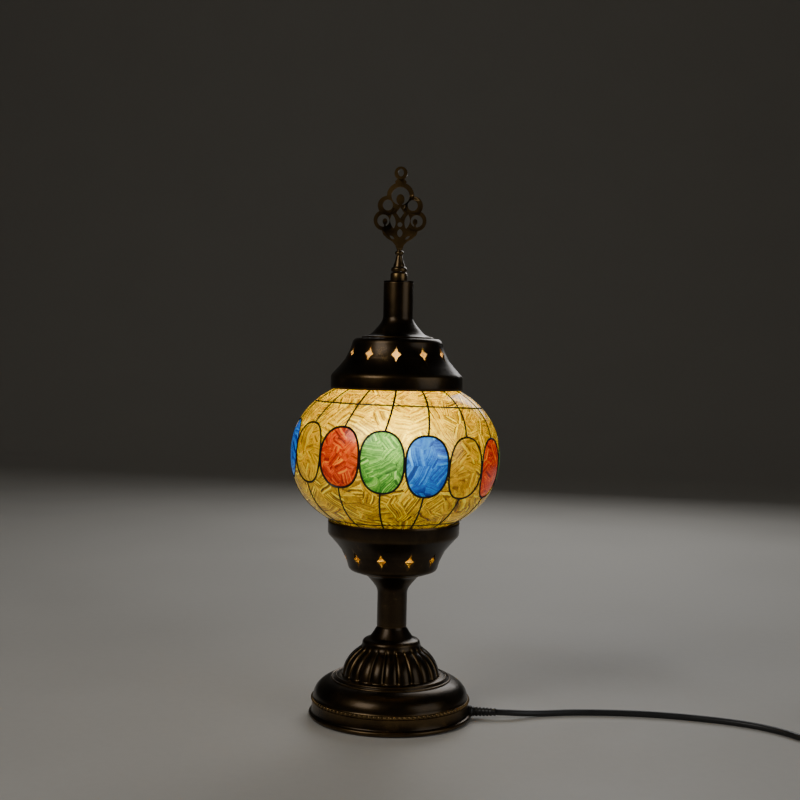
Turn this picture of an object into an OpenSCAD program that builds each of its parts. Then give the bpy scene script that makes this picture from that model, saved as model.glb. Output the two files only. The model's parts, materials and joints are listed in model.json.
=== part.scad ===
// Mosaic glass table lamp: a glass globe covered in glass tiles between two
// pierced metal galleries, on a fluted stem and a weighted round base.
// Millimetres. +Z is up, the lamp's axis is Z, and the felt pad lies on z = 0.

/* [Base] */
// Widest diameter of the base, over its rolled foot
base_d = 125; // [115:1:150]
// Height of the base shell's flat top
base_h = 32; // [30:0.5:38]
// Wall of the cast base shell
base_wall = 1.6; // [1.2:0.1:1.8]
// Thickness of the felt pad
felt_t = 1.2; // [1:0.1:2]
// Thickness of the steel bottom plate
plate_t = 1.2; // [0.8:0.1:1.6]
// Diameter of the bottom plate's screws
base_screw_d = 3; // [2.5:0.5:4]
// Height of the fluted dome
dome_h = 37.5; // [34:0.5:44]
// Radius of the dome's curved side at its foot
dome_r = 37.9; // [34:0.1:40]
// Number of flutes round the dome
flute_count = 22; // [16:1:26]
// Depth of a flute's valley
flute_depth = 0.9; // [0.5:0.1:1.1]

/* [Stem and galleries] */
// Outer radius of a gallery's rim
rim_r = 50.2; // [46:0.2:52]
// Depth of a gallery from its rim to its floor
gallery_h = 38.7; // [36:0.1:44]
// Length of a neck, from the gallery's floor to its far end
neck_h = 42.3; // [38:0.1:55]
// Outer radius of a neck's tube
neck_r = 11.4; // [10.5:0.1:12.5]
// Wall of the spun galleries and necks
spun_wall = 1.2; // [0.8:0.1:1.5]
// Number of pierced diamonds round a gallery
diamond_count = 11; // [9:1:12]
// Height of a pierced diamond
diamond_h = 11; // [8:0.5:12]
// Width of a pierced diamond
diamond_w = 7.2; // [5:0.1:9]

/* [Globe] */
// Widest diameter of the globe, over its lead lines
globe_d = 160; // [150:1:200]
// Height between the two gallery rims
globe_gap = 100; // [88:1:120]
// How square the globe's outline is: 2 is an ellipse
globe_power = 2.2; // [2:0.05:2.4]
// Wall of the blown globe
glass_wall = 2.6; // [2:0.1:3.4]
// Thickness of the tiles on the globe
tile_t = 1.2; // [0.8:0.1:1.6]
// How far the lead lines stand out over the tiles
came_proud = 0.4; // [0.2:0.1:0.8]
// Width of a lead line
came_w = 1.3; // [1:0.1:1.8]
// Width of an oval tile
oval_w = 30.8; // [26:0.2:31]
// Height of an oval tile
oval_h = 42.5; // [40:0.5:48]
// Radius of the globe's two mouths
mouth_r = 40; // [34:0.5:42]

/* [Bulb and holder] */
// Outer diameter of the hollow threaded rod
rod_d = 10; // [10:0.5:12]
// Bore of the hollow threaded rod
rod_bore = 8; // [7:0.5:8]
// Diameter of the bulb's ball
bulb_d = 45; // [35:1:50]
// Whole length of the bulb
bulb_h = 78; // [74:1:84]
// Height of the bulb's middle above the globe's middle
bulb_lift = 29; // [15:1:32]
// Diameter of the bulb's screw cap
bulb_cap_d = 13.9; // [13.5:0.1:14]
// Outer radius of the bulb holder
holder_r = 14; // [13:0.5:15]

/* [Finial] */
// Radius of the round nut under the finial
collar_r = 6.4; // [6:0.1:8]
// Height of the round nut under the finial
collar_h = 6.8; // [5:0.1:9]
// Height of the turned ferrule, up to the openwork
ferrule_h = 17.4; // [15:0.1:20]
// Thickness of the openwork plate
filigree_t = 3.4; // [2.5:0.1:4]
// Diameter of the solid rod through the cap
cap_rod_d = 6; // [5:0.5:7]

/* [Cord] */
// Diameter of the round mains cord
cord_d = 4.8; // [4:0.1:5.8]
// Height of the cord's axis where it leaves the base
exit_z = 5; // [4.5:0.1:6.5]
// Direction in which the cord leaves, in degrees from +X
exit_angle = -3; // [-20:1:20]
// How far the strain relief stands out of the base
relief_out = 21.5; // [18:0.5:30]
// Turns of the stored coil that lie side by side
coil_turns = 4; // [3:1:5]
// Layers of the stored coil
coil_layers = 2; // [1:1:3]

/* [Hidden] */
$fn = 96;

// Clearances
seat_gap = 0.3;   // between bodies that lift off each other
slide_fit = 0.05; // radial, between a thread and what screws on it
slip_fit = 0.2;   // radial, round a part that only passes through

// Heights up the lamp
dome_z = base_h;
neck_z = dome_z + dome_h;
floor_z = neck_z + neck_h;
low_rim_z = floor_z + gallery_h;
globe_z = low_rim_z + globe_gap / 2;
top_rim_z = low_rim_z + globe_gap;
cap_floor_z = top_rim_z + gallery_h;
cap_top_z = cap_floor_z + neck_h;

// Base
base_r = base_d / 2;
foot_z = felt_t / 2;
lip_r = 1.75;
wall_r = base_r - 2.5;
band_z = 12.4;
band_h = 3;
band_depth = 0.9;
plate_r = wall_r - base_wall - 0.4;
plate_z = felt_t;
weight_r = wall_r - 10;
weight_z = plate_z + plate_t + 6.6;
weight_h = 11;
weight_hole_r = 16;
web_h = 4;
hub_r = 20;
boss_r = 5;
boss_at = 38;
screw_r = base_screw_d / 2;
washer_t = 1.2;
nut_t = 4;
nut_af = 14;
rod_r = rod_d / 2;
web_z = weight_z + weight_h;
rod_z = web_z - washer_t - nut_t - 1;

// Bulb and holder
bulb_z = globe_z + bulb_lift;
bulb_r = bulb_d / 2;
bulb_top_z = bulb_z + bulb_r;
bulb_foot_z = bulb_top_z - bulb_h;
bulb_cap_h = 22;
bulb_cap_r = bulb_cap_d / 2;
core_z = bulb_foot_z - 22;
core_h = 20;
holder_wall = 1.6;
holder_z = core_z - 14;
holder_top_z = bulb_foot_z + 19;
rod_top_z = holder_z + 9;

// Cap and finial
cap_rod_r = cap_rod_d / 2;
collar_z = cap_top_z + washer_t;
ferrule_z = collar_z + collar_h + seat_gap;
filigree_z = ferrule_z + ferrule_h;
stud_in = 7;

// Ovals: their places round the globe, and the slant of their row
oval_count = 15;
oval_step = 360 / oval_count;
oval_start = -6.7;
oval_power = 2.3;
row_slant = 4.3;
row_lift = -0.5;
ring_top_h = 38.5;
ring_low_h = 47.2;

// The cord's route over the table, by hand: x, y, z of its axis
relief_in = 6;
exit_r = wall_r + relief_out;
exit_point = [exit_r * cos(exit_angle), exit_r * sin(exit_angle), exit_z];
RUN = [
    exit_point, [92, -3.6, 4.6], [101, -1, 3.7], [111, 2.4, 2.8], [122, 5.4, 2.4],
    [136, 8.2, 2.4], [150, 9.8, 2.4], [166, 10.4, 2.4], [182, 10, 2.4], [198, 8.6, 2.4],
    [213, 6, 2.4], [228, 2.4, 2.4], [242, -2, 2.4], [256, -7.2, 2.4], [268, -13, 2.4],
    [279, -20, 2.4], [288, -28, 2.4], [296, -37, 2.4], [302, -46, 2.4],
    [309, -53.4, 3.2], [316, -58, 4.6], [322, -60, 5.6], [328, -60, 6]
];
// In-line switch
switch_l = 60;
switch_w = 22;
switch_h = 14;
switch_split = 6;
switch_wall = 1.8;
switch_mid = [358, -60];
rocker_l = 15;
rocker_w = 9;
rocker_pivot_z = 10.6;
rocker_tilt = 8;
pivot_r = 1.2;
pivot_in = 1.4;
switch_screw_at = 19;

// Two-pin plug
plug_w = 35.3;
plug_h = 13.7;
plug_l = 36;
plug_tail = 16;
plug_x = 411;
pin_r = 2;
pin_l = 19;
pin_gap = 18.6;

// Tied coil: its outer turn keeps to coil_side_x, coil_gap clear of the switch
coil_side_x = 415;
coil_gap = 7;
coil_pitch = cord_d * 1.02;
coil_r = 12 * cord_d / 2;
coil_w = coil_turns * coil_pitch + cord_d;
coil_h = coil_layers * cord_d + 0.4;
coil_out = coil_r + coil_w / 2;
coil_at = [coil_side_x - coil_out, switch_mid[1] + switch_w / 2 + coil_gap + coil_out];
plug_y = coil_at[1] + coil_out - 6;
tie_t = 0.8;
tie_w = 9;

// The cord from the switch to the coil, and from the coil to the plug
LINK = [
    [388, -60, 6], [394, -59.4, 5.6], [401, -56.4, 4.6], [407, -51, 3.4],
    [411, -44, 2.6], [413, -36, 2.4], [413.6, -27, 2.4], [413.4, -18, 2.4],
    [coil_side_x - 2, coil_at[1] - 8, 2.4]
];
TAIL = [
    [coil_side_x - 2.6, coil_at[1] + 8, 1.5 * cord_d], [coil_side_x - 3.6, plug_y - 18, 7],
    [plug_x, plug_y - 9, 6.9], [plug_x, plug_y, plug_h / 2]
];

// --- Profiles -------------------------------------------------------------

// Points of an arc round c, from angle a0 to a1 in n steps
function arc(c, rx, ry, a0, a1, n) =
    [for (i = [0:n]) let(a = a0 + (a1 - a0) * i / n) c + [rx * cos(a), ry * sin(a)]];

// The point a wall's thickness to the left of the way along a profile
function inside(p, i, w) =
    let(a = p[max(i - 1, 0)], b = p[min(i + 1, len(p) - 1)], d = (b - a) / norm(b - a))
    p[i] + w * [-d[1], d[0]];

// Closed outline of a wall w thick, whose outside is the profile p
function wall_of(p, w) = concat(p, [for (i = [len(p) - 1:-1:0]) inside(p, i, w)]);

// Globe: height over its middle of a surface t inside the outermost one
globe_r = globe_d / 2;
seat_r = rim_r - spun_wall;
globe_b = (globe_gap / 2 - seat_gap)
    / pow(1 - pow(seat_r / globe_r, globe_power), 1 / globe_power);
function globe_height(r, t) =
    (globe_b - t) * pow(1 - pow(r / (globe_r - t), globe_power), 1 / globe_power);
function globe_width(h, t) =
    (globe_r - t) * pow(1 - pow(abs(h) / (globe_b - t), globe_power), 1 / globe_power);
// Points of that surface from height h0 to h1, at angles that all the surfaces share
globe_step = 6;
function globe_arc(h0, h1, t) =
    let(
        b = globe_b - t, a0 = asin(h0 / b), a1 = asin(h1 / b), way = sign(a1 - a0),
        shared = [
            for (k = [-14:14]) let(a = way * k * globe_step)
                if ((a - a0) * way > 0.3 && (a1 - a) * way > 0.3) a
        ]
    )
    [for (a = concat([a0], shared, [a1])) let(h = b * sin(a)) [globe_width(h, t), h]];

// A gallery with its rim at z = 0, open upwards, its floor at -gallery_h
gallery_profile = concat(
    [[rod_r + slip_fit, -gallery_h], [rim_r * 0.56, -gallery_h]],
    arc([rim_r * 0.6, -gallery_h + 5], 4.4, 5, -70, -10, 4),
    [[rim_r - 14.6, -gallery_h + 8], [rim_r - 12, -gallery_h + 13.5]],
    [[rim_r - 10.8, -gallery_h + 16], [rim_r - 6.6, -17.5], [rim_r - 2.2, -12.6]],
    [[rim_r - 0.5, -10.8], [rim_r, -9], [rim_r, 0]]
);

// A neck with its flange under z = 0, its tube down to -neck_h
neck_profile = [
    [neck_r, -neck_h], [neck_r, -15.4], [neck_r + 1.2, -12.6], [neck_r + 3, -10],
    [neck_r + 5, -7.6], [neck_r + 7.2, -5], [neck_r + 9.6, -3],
    [neck_r + 13, -spun_wall - 0.4], [neck_r + 16, -spun_wall]
];

// --- Base -----------------------------------------------------------------

module screw_places()
    for (a = [60, 180, 300])
        rotate(a) translate([boss_at, 0, 0]) children();

module felt_pad() {
    color("darkolivegreen")
    difference() {
        cylinder(r = plate_r - 1, h = felt_t);
        screw_places() translate([0, 0, -1]) cylinder(r = screw_r * 2 + 1, h = felt_t + 2);
        rotate(exit_angle) translate([plate_r - 9, -6, -1]) cube([12, 12, felt_t + 2]);
    }
}

module base_plate() {
    color("lightsteelblue")
    translate([0, 0, plate_z])
    difference() {
        cylinder(r = plate_r, h = plate_t);
        screw_places() translate([0, 0, -1]) cylinder(r = screw_r + slip_fit, h = plate_t + 2);
        rotate(exit_angle) translate([plate_r - 9, -6, -1]) cube([12, 12, plate_t + 2]);
    }
}

module base_screws() {
    color("silver")
    screw_places() {
        translate([0, 0, plate_z - 0.9]) cylinder(r = screw_r * 2, h = 0.9);
        translate([0, 0, plate_z]) cylinder(r = screw_r - slide_fit, h = plate_t + 9);
    }
}

module base_weight() {
    hub_top = base_h - base_wall;
    color("dimgray")
    difference() {
        union() {
            rotate_extrude() polygon([
                [weight_hole_r, weight_z], [weight_r, weight_z],
                [weight_r, web_z - 2], [weight_r - 4, web_z + web_h],
                [hub_r, web_z + web_h], [hub_r, hub_top], [rod_r + slip_fit, hub_top],
                [rod_r + slip_fit, web_z], [weight_hole_r, web_z]
            ]);
            screw_places()
                translate([0, 0, plate_z + plate_t])
                    cylinder(r = boss_r, h = weight_z - plate_z - plate_t + 1);
        }
        screw_places()
            translate([0, 0, plate_z + plate_t - 1]) cylinder(r = screw_r, h = 12);
    }
}

base_profile = concat(
    arc([base_r - lip_r, foot_z + lip_r], lip_r, lip_r, -90, 90, 10),
    [[wall_r + 0.3, foot_z + 4], [wall_r, foot_z + 4.8], [wall_r, band_z]],
    [[wall_r - band_depth, band_z], [wall_r - band_depth, band_z + band_h]],
    arc([wall_r - 18, band_z + 2.4], 17.2, base_h - band_z - 4.7, 3, 74, 10),
    [[base_r - 20.5, base_h - 1.3], [dome_r + 1.4, base_h], [rod_r + slip_fit, base_h]]
);

module base_shell() {
    color("saddlebrown")
    difference() {
        union() {
            rotate_extrude() polygon(wall_of(base_profile, base_wall));
            rotate_extrude() translate([base_r - 17.3, base_h - 2.6]) circle(r = 1, $fn = 32);
            rotate_extrude() translate([base_r - 20.6, base_h - 0.9]) circle(r = 0.9, $fn = 32);
        }
        rotate(exit_angle) translate([wall_r - 8, 0, exit_z])
            rotate([0, 90, 0]) cylinder(r = relief_r, h = 20);
    }
}

module bead_band() {
    color("peru")
    rotate_extrude() polygon(concat(
        [[wall_r - band_depth, band_z + band_h], [wall_r - band_depth, band_z]],
        arc([wall_r - 0.4, band_z + band_h / 2], band_h / 2 - 0.1, band_h / 2 - 0.1, -80, 80, 8)
    ));
}

dome_wall = 2.4;
flank = 28.55;
flank_at = [dome_r - 28.45, -4.1];
dome_profile = concat(
    [[dome_r, 0]],
    arc(flank_at, flank, flank, 10, 56, 10),
    [[22.9, dome_h - 15.3], [22.3, dome_h - 13.6]],
    arc([18.2, dome_h - 13.4], 4, 3.6, 10, 70, 4),
    [[16.6, dome_h - 8.6], [15, dome_h - 6.6], [13.6, dome_h - 4.6]],
    [[12.2, dome_h - 2.2], [neck_r - 0.2, dome_h - 0.6], [neck_r - 0.2, dome_h]],
    [[rod_r + slip_fit, dome_h]]
);

module fluted_dome() {
    color("peru")
    translate([0, 0, dome_z])
    difference() {
        rotate_extrude() polygon(concat(
            dome_profile,
            [for (i = [len(dome_profile) - 1:-1:1]) inside(dome_profile, i, dome_wall)],
            [[dome_r - dome_wall, 0]]
        ));
        for (i = [0:flute_count - 1])
            rotate((i + 0.5) * 360 / flute_count)
                translate([flank_at[0], 0, flank_at[1]]) rotate([90, 0, 0])
                    rotate_extrude(start = 6, angle = 46, $fn = 64)
                        translate([flank + 1.6 - flute_depth, 0]) circle(r = 1.6, $fn = 24);
    }
}

module base_washer() {
    color("silver")
    translate([0, 0, web_z - washer_t]) ring(12, rod_r + slip_fit, washer_t);
}

module base_locknut() {
    color("gold")
    translate([0, 0, web_z - washer_t - nut_t]) hex_nut(nut_af, rod_r, nut_t);
}

module threaded_rod() {
    color("gold")
    translate([0, 0, rod_z]) ring(rod_r, rod_bore / 2, rod_top_z - rod_z);
}

module ring(r, bore, h)
    difference() {
        cylinder(r = r, h = h);
        translate([0, 0, -1]) cylinder(r = bore, h = h + 2);
    }

module hex_nut(af, bore, h)
    difference() {
        cylinder(r = af / sqrt(3), h = h, $fn = 6);
        translate([0, 0, -1]) cylinder(r = bore, h = h + 2);
    }

// --- Galleries and necks --------------------------------------------------

// Four-pointed star with hollow sides, as pierced in the galleries
module diamond_2d(w, h) {
    k = 0.19;
    polygon([
        [w / 2, 0], [w * k, h * k], [0, h / 2], [-w * k, h * k],
        [-w / 2, 0], [-w * k, -h * k], [0, -h / 2], [w * k, -h * k]
    ]);
}

module gallery(phase)
    difference() {
        rotate_extrude() polygon(wall_of(gallery_profile, spun_wall));
        for (i = [0:diamond_count - 1])
            rotate(phase + i * 360 / diamond_count)
                translate([0, -rim_r + 25, -gallery_h + 12.1]) rotate([90, 0, 0])
                    linear_extrude(height = 22) diamond_2d(diamond_w, diamond_h);
    }

module neck()
    rotate_extrude() polygon(wall_of(neck_profile, spun_wall));

module lower_neck() {
    color("sienna") translate([0, 0, floor_z]) neck();
}

module lower_gallery() {
    color("saddlebrown") translate([0, 0, low_rim_z]) gallery(-13.3);
}

module gallery_washer() {
    color("silver")
    translate([0, 0, floor_z + spun_wall]) ring(14, rod_r + slip_fit, washer_t);
}

module gallery_nut() {
    color("gold")
    translate([0, 0, floor_z + spun_wall + washer_t]) hex_nut(nut_af, rod_r, nut_t);
}

// Soft ring inside a gallery's rim, just clear of the globe
module seal() {
    in_r = seat_r - 5;
    drop = globe_height(in_r, 0) + seat_gap;
    rotate_extrude() polygon([
        [in_r, -drop], [in_r, -drop - 3.5], [seat_r, -drop - 3.5],
        [seat_r, -globe_height(seat_r, 0) - 2 * seat_gap]
    ]);
}

module lower_seal() {
    color("black") translate([0, 0, globe_z]) seal();
}

module upper_seal() {
    color("black") translate([0, 0, globe_z]) mirror([0, 0, 1]) seal();
}

module cap_gallery() {
    color("saddlebrown") translate([0, 0, top_rim_z]) mirror([0, 0, 1]) gallery(-1);
}

module cap_neck() {
    color("sienna") translate([0, 0, cap_floor_z]) mirror([0, 0, 1]) neck();
}

module cap_washer() {
    color("silver")
    translate([0, 0, cap_floor_z - spun_wall - washer_t])
        ring(14, cap_rod_r + slip_fit, washer_t);
}

module cap_nut() {
    color("gold")
    translate([0, 0, cap_floor_z - spun_wall - washer_t - nut_t])
        hex_nut(10, cap_rod_r, nut_t);
}

module cap_rod() {
    foot = cap_floor_z - spun_wall - washer_t - nut_t - 2;
    color("silver")
    translate([0, 0, foot]) cylinder(r = cap_rod_r, h = ferrule_z + stud_in - foot);
}

module cap_top_washer() {
    color("peru") translate([0, 0, cap_top_z]) ring(neck_r, cap_rod_r + slip_fit, washer_t);
}

module finial_collar() {
    color("peru")
    translate([0, 0, collar_z])
    difference() {
        union() {
            cylinder(r = collar_r, h = collar_h - 1.2);
            translate([0, 0, collar_h - 1.2])
                cylinder(r1 = collar_r, r2 = collar_r - 1.4, h = 1.2);
        }
        translate([0, 0, -1]) cylinder(r = cap_rod_r, h = collar_h + 2);
    }
}

// --- Finial ---------------------------------------------------------------

module finial_ferrule() {
    color("goldenrod")
    translate([0, 0, ferrule_z])
    difference() {
        rotate_extrude() polygon(concat(
            [[0, 0], [5.9, 0]],
            arc([2.7, 1.6], 3.4, 2.6, -10, 50, 5),
            [[4.2, 5.4], [3.3, 8], [2.8, 10.2], [2.4, 11.8]],
            arc([1, 14.1], 2.4, 2, -60, 60, 6),
            [[2.1, 16.4], [2.4, ferrule_h], [0, ferrule_h]]
        ));
        translate([0, 0, -1]) cylinder(r = cap_rod_r + slide_fit, h = stud_in + 1.5);
    }
}

module vesica(w, h) {
    r = (w * w + h * h) / (4 * w);
    intersection() {
        translate([r - w / 2, 0]) circle(r = r);
        translate([w / 2 - r, 0]) circle(r = r);
    }
}

module filigree_top() {
    translate([0, 57]) circle(r = 5.1);
}

module filigree_neck() {
    polygon([[-4.4, 50.6], [-2.4, 53], [2.4, 53], [4.4, 50.6], [3, 48.4], [-3, 48.4]]);
}

module filigree_outline() {
    translate([0, 39.8]) circle(r = 10.4);
    for (s = [-1, 1]) {
        translate([s * 9.8, 32.4]) circle(r = 7.4);
        translate([s * 12.2, 21.2]) circle(r = 7.9);
    }
    polygon([
        [-9, 36], [-14, 14.5], [-12.6, 10.6], [-9.4, 7.6], [-5.4, 5.2], [-3.2, 2.6], [-2.4, 0],
        [2.4, 0], [3.2, 2.6], [5.4, 5.2], [9.4, 7.6], [12.6, 10.6], [14, 14.5], [9, 36]
    ]);
}

module filigree_holes() {
    translate([0, 57.6]) circle(r = 2.3);
    difference() {
        translate([0, 39.8]) circle(r = 6.8);
        translate([0, 37.2]) circle(r = 3.1);
        translate([-1.4, 32]) square([2.8, 4]);
    }
    translate([0, 27.1]) diamond_2d(8.6, 8.6);
    translate([0, 18.2]) circle(r = 1.85);
    translate([0, 11.8]) vesica(4.1, 6.4);
    for (s = [-1, 1]) {
        translate([s * 9.4, 32.8]) circle(r = 3.9);
        translate([s * 5.4, 20.6]) rotate(s * -8) vesica(4, 11);
        translate([s * 5.8, 8.4]) rotate(s * -52) vesica(1.8, 4.4);
        difference() {
            translate([s * 12.6, 21]) circle(r = 4.7);
            translate([s * 11.4, 20]) circle(r = 1.9);
            translate([s * 11.4 - 0.8, 15]) square([1.6, 5]);
        }
    }
}

module finial_filigree() {
    color("goldenrod")
    translate([0, filigree_t / 2, filigree_z]) rotate([90, 0, 0])
        difference() {
            union() {
                linear_extrude(height = filigree_t) filigree_top();
                linear_extrude(height = filigree_t) filigree_neck();
                linear_extrude(height = filigree_t) filigree_outline();
            }
            translate([0, 0, -1]) linear_extrude(height = filigree_t + 2) filigree_holes();
        }
}

// --- Globe and mosaic -----------------------------------------------------

module globe_glass() {
    t = tile_t + came_proud;
    h = globe_height(mouth_r, t);
    h_in = globe_height(mouth_r, t + glass_wall);
    outer = globe_arc(-h, h, t);
    inner = globe_arc(h_in, -h_in, t + glass_wall);
    color("gold", 0.4)
    translate([0, 0, globe_z]) rotate_extrude() polygon(concat(outer, inner));
}

// The skin over the glass from height h0 to h1, its face t inside the outermost one
module skin(h0, h1, t) {
    back = tile_t + came_proud;
    rotate_extrude() polygon(concat(globe_arc(h0, h1, t), globe_arc(h1, h0, back)));
}

// The place of oval i: round the globe, and up or down along the slanting row
function oval_angle(i) = oval_start + i * oval_step;
function oval_rise(i) = row_lift - globe_r * tan(row_slant) * sin(oval_angle(i));

// The sine or cosine c, drawn out so that an oval has fuller sides
function full(c) = sign(c) * pow(abs(c), 2 / oval_power);

module oval_prism(i, grow)
    rotate(oval_angle(i)) translate([0, 0, oval_rise(i)]) rotate([90, 0, 0])
        linear_extrude(height = globe_r + 5)
            polygon([for (a = [0:15:345])
                [(oval_w / 2 + grow) * full(cos(a)), (oval_h / 2 + grow) * full(sin(a))]]);

module meridian_slab(i)
    rotate(oval_angle(i)) translate([-came_w / 2, -globe_r - 5, -globe_b])
        cube([came_w, globe_r - 30, 2 * globe_b]);

module tiles(places)
    translate([0, 0, globe_z])
        intersection() {
            skin(-34, 36, came_proud);
            union() {
                for (i = places) oval_prism(i, 0);
            }
        }

module tiles_green() { color("limegreen") tiles([0, 4, 8]); }
module tiles_blue() { color("royalblue") tiles([1, 5, 9, 12]); }
module tiles_amber() { color("orange") tiles([2, 6, 10, 13]); }
module tiles_red() { color("orangered") tiles([3, 7, 11, 14]); }

// The patterned ground between two heights, without the ovals and the lead lines
module ground(h0, h1)
    difference() {
        skin(h0, h1, came_proud);
        for (i = [0:oval_count - 1]) meridian_slab(i);
    }

module half(side)
    rotate([0, row_slant, 0])
        translate([-120, -120, side > 0 ? 0 : -240]) cube(240);

module field(side)
    translate([0, 0, globe_z])
        intersection() {
            difference() {
                ground(-ring_low_h + came_w / 2, ring_top_h - came_w / 2);
                for (i = [0:oval_count - 1]) oval_prism(i, came_w);
            }
            translate([0, 0, row_lift]) half(side);
        }

skin_end_h = globe_height(mouth_r + 4, tile_t + came_proud) - 0.5;

module field_upper() { color("gold") field(1); }
module field_lower() { color("gold") field(-1); }

module field_crown() {
    color("khaki") translate([0, 0, globe_z]) ground(ring_top_h + came_w / 2, skin_end_h);
}

module field_foot() {
    color("khaki") translate([0, 0, globe_z]) ground(-skin_end_h, -ring_low_h - came_w / 2);
}

module came_lines() {
    color("black")
    translate([0, 0, globe_z]) {
        intersection() {
            skin(-skin_end_h, skin_end_h, 0);
            union() {
                for (i = [0:oval_count - 1])
                    difference() {
                        union() {
                            oval_prism(i, came_w);
                            meridian_slab(i);
                        }
                        oval_prism(i, 0);
                        oval_prism(i - 1, 0);
                        oval_prism(i + 1, 0);
                    }
            }
        }
        skin(ring_top_h - came_w / 2, ring_top_h + came_w / 2, 0);
        skin(-ring_low_h - came_w / 2, -ring_low_h + came_w / 2, 0);
    }
}

// --- Holder and bulb ------------------------------------------------------

module holder_cap() {
    color("dimgray")
    rotate_extrude() polygon([
        [rod_r, holder_z], [holder_r - 3, holder_z], [holder_r, holder_z + 3],
        [holder_r, core_z], [holder_r - holder_wall, core_z],
        [holder_r - holder_wall, holder_z + 4], [rod_r, holder_z + 4]
    ]);
}

module holder_sleeve() {
    color("gray") translate([0, 0, core_z]) ring(holder_r, holder_r - holder_wall, holder_top_z - core_z);
}

module holder_core() {
    color("ivory")
    rotate_extrude() polygon([
        [0, core_z], [holder_r - holder_wall, core_z],
        [holder_r - holder_wall, bulb_foot_z + 14],
        [bulb_cap_r + 0.7, bulb_foot_z + 14], [bulb_cap_r + 0.7, core_z + core_h],
        [0, core_z + core_h]
    ]);
}

module thread_shell() {
    color("gold")
    translate([0, 0, core_z + core_h])
        ring(bulb_cap_r + 0.7, bulb_cap_r + slide_fit, bulb_foot_z + 17 - core_z - core_h);
}

module centre_contact() {
    color("gold")
    translate([0, 0, core_z + core_h])
        cylinder(r = 2.5, h = bulb_foot_z - seat_gap - core_z - core_h);
}

// The insulated wires from the strain relief to the holder, as one round lead
lead_r = 2;
lead_bend = 9;
relief_start = wall_r - base_wall - relief_in;

module inner_lead() {
    color("white") rotate(exit_angle) {
        translate([0, 0, exit_z + lead_bend])
            rotate(180) cylinder(r = lead_r, h = core_z - exit_z - lead_bend);
        translate([lead_bend, 0, exit_z + lead_bend]) rotate([90, 0, 0])
            rotate_extrude(start = 180, angle = 90) translate([lead_bend, 0]) circle(r = lead_r);
        translate([lead_bend, 0, exit_z]) rotate([0, 90, 0])
            cylinder(r = lead_r, h = relief_start - lead_bend);
    }
}

bulb_neck_r = bulb_cap_r - 0.5;
bulb_wall = 0.9;
bulb_profile = concat(
    [[bulb_neck_r, bulb_foot_z + bulb_cap_h - 3], [bulb_neck_r, bulb_foot_z + bulb_cap_h + 3],
     [bulb_neck_r + 2.4, bulb_foot_z + bulb_cap_h + 8]],
    arc([0, bulb_z], bulb_r, bulb_r, -48, 90, 14)
);

module bulb_glass() {
    color("white", 0.6)
    rotate_extrude() polygon(concat(
        bulb_profile,
        [for (i = [len(bulb_profile) - 1:-1:0])
            let(q = inside(bulb_profile, i, bulb_wall)) [max(q[0], 0), q[1]]]
    ));
}

module bulb_cap() {
    color("silver")
    rotate_extrude() polygon([
        [0, bulb_foot_z], [3, bulb_foot_z], [bulb_cap_r - 2, bulb_foot_z + 3],
        [bulb_cap_r, bulb_foot_z + 4], [bulb_cap_r, bulb_foot_z + bulb_cap_h],
        [bulb_neck_r, bulb_foot_z + bulb_cap_h], [bulb_neck_r, bulb_foot_z + bulb_cap_h - 3],
        [0, bulb_foot_z + bulb_cap_h - 3]
    ]);
}

module bulb_stem() {
    color("lightcyan")
    translate([0, 0, bulb_foot_z + bulb_cap_h - 3]) {
        cylinder(r = 3.2, h = 8);
        translate([0, 0, 8]) cylinder(r1 = 3.2, r2 = 1.2, h = 6);
        translate([0, 0, 14]) cylinder(r = 1.2, h = bulb_z - bulb_foot_z - bulb_cap_h - 11);
    }
}

module bulb_filament() {
    color("yellow")
    translate([0, 0, bulb_z + 1]) {
        rotate_extrude(start = 40, angle = 280) translate([9, 0]) circle(r = 0.6, $fn = 16);
        rotate(180) translate([0, -0.5, -0.5]) cube([9, 1, 1]);
    }
}

// --- Cord and what is on it -----------------------------------------------

relief_r = cord_d / 2 + 0.9;

module cord_relief() {
    flange_r = relief_r + 0.9;
    color("black")
    rotate(exit_angle) translate([0, 0, exit_z]) rotate([0, 90, 0]) {
        translate([0, 0, relief_start]) cylinder(r = relief_r, h = wall_r + 5 - relief_start);
        translate([0, 0, wall_r - base_wall - 2.5]) cylinder(r = flange_r, h = 2);
        translate([0, 0, wall_r + 5])
            cylinder(r1 = relief_r, r2 = cord_d / 2 + 0.4, h = exit_r - wall_r - 5);
    }
}

function along(p, i) =
    let(d = p[min(i + 1, len(p) - 1)] - p[max(i - 1, 0)]) d / norm(d);

// A round tube of n sides along the points p
module tube(p, r, n) {
    rings = [
        for (i = [0:len(p) - 1])
            let(t = along(p, i), s = cross(t, [0, 0, 1]) / norm(cross(t, [0, 0, 1])), u = cross(s, t))
            for (k = [0:n - 1]) let(a = (k + 0.5) * 360 / n) p[i] + r * (cos(a) * s + sin(a) * u)
    ];
    last = (len(p) - 1) * n;
    polyhedron(rings, concat(
        [[for (k = [0:n - 1]) k]],
        [[for (k = [n - 1:-1:0]) last + k]],
        [
            for (i = [0:len(p) - 2], k = [0:n - 1])
                let(m = (k + 1) % n)
                [i * n + m, i * n + k, (i + 1) * n + k, (i + 1) * n + m]
        ]
    ));
}

module cord_run() { color("black") tube(RUN, cord_d / 2, 10); }
module cord_link() { color("black") tube(LINK, cord_d / 2, 10); }
module cord_tail() { color("black") tube(TAIL, cord_d / 2, 10); }

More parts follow.
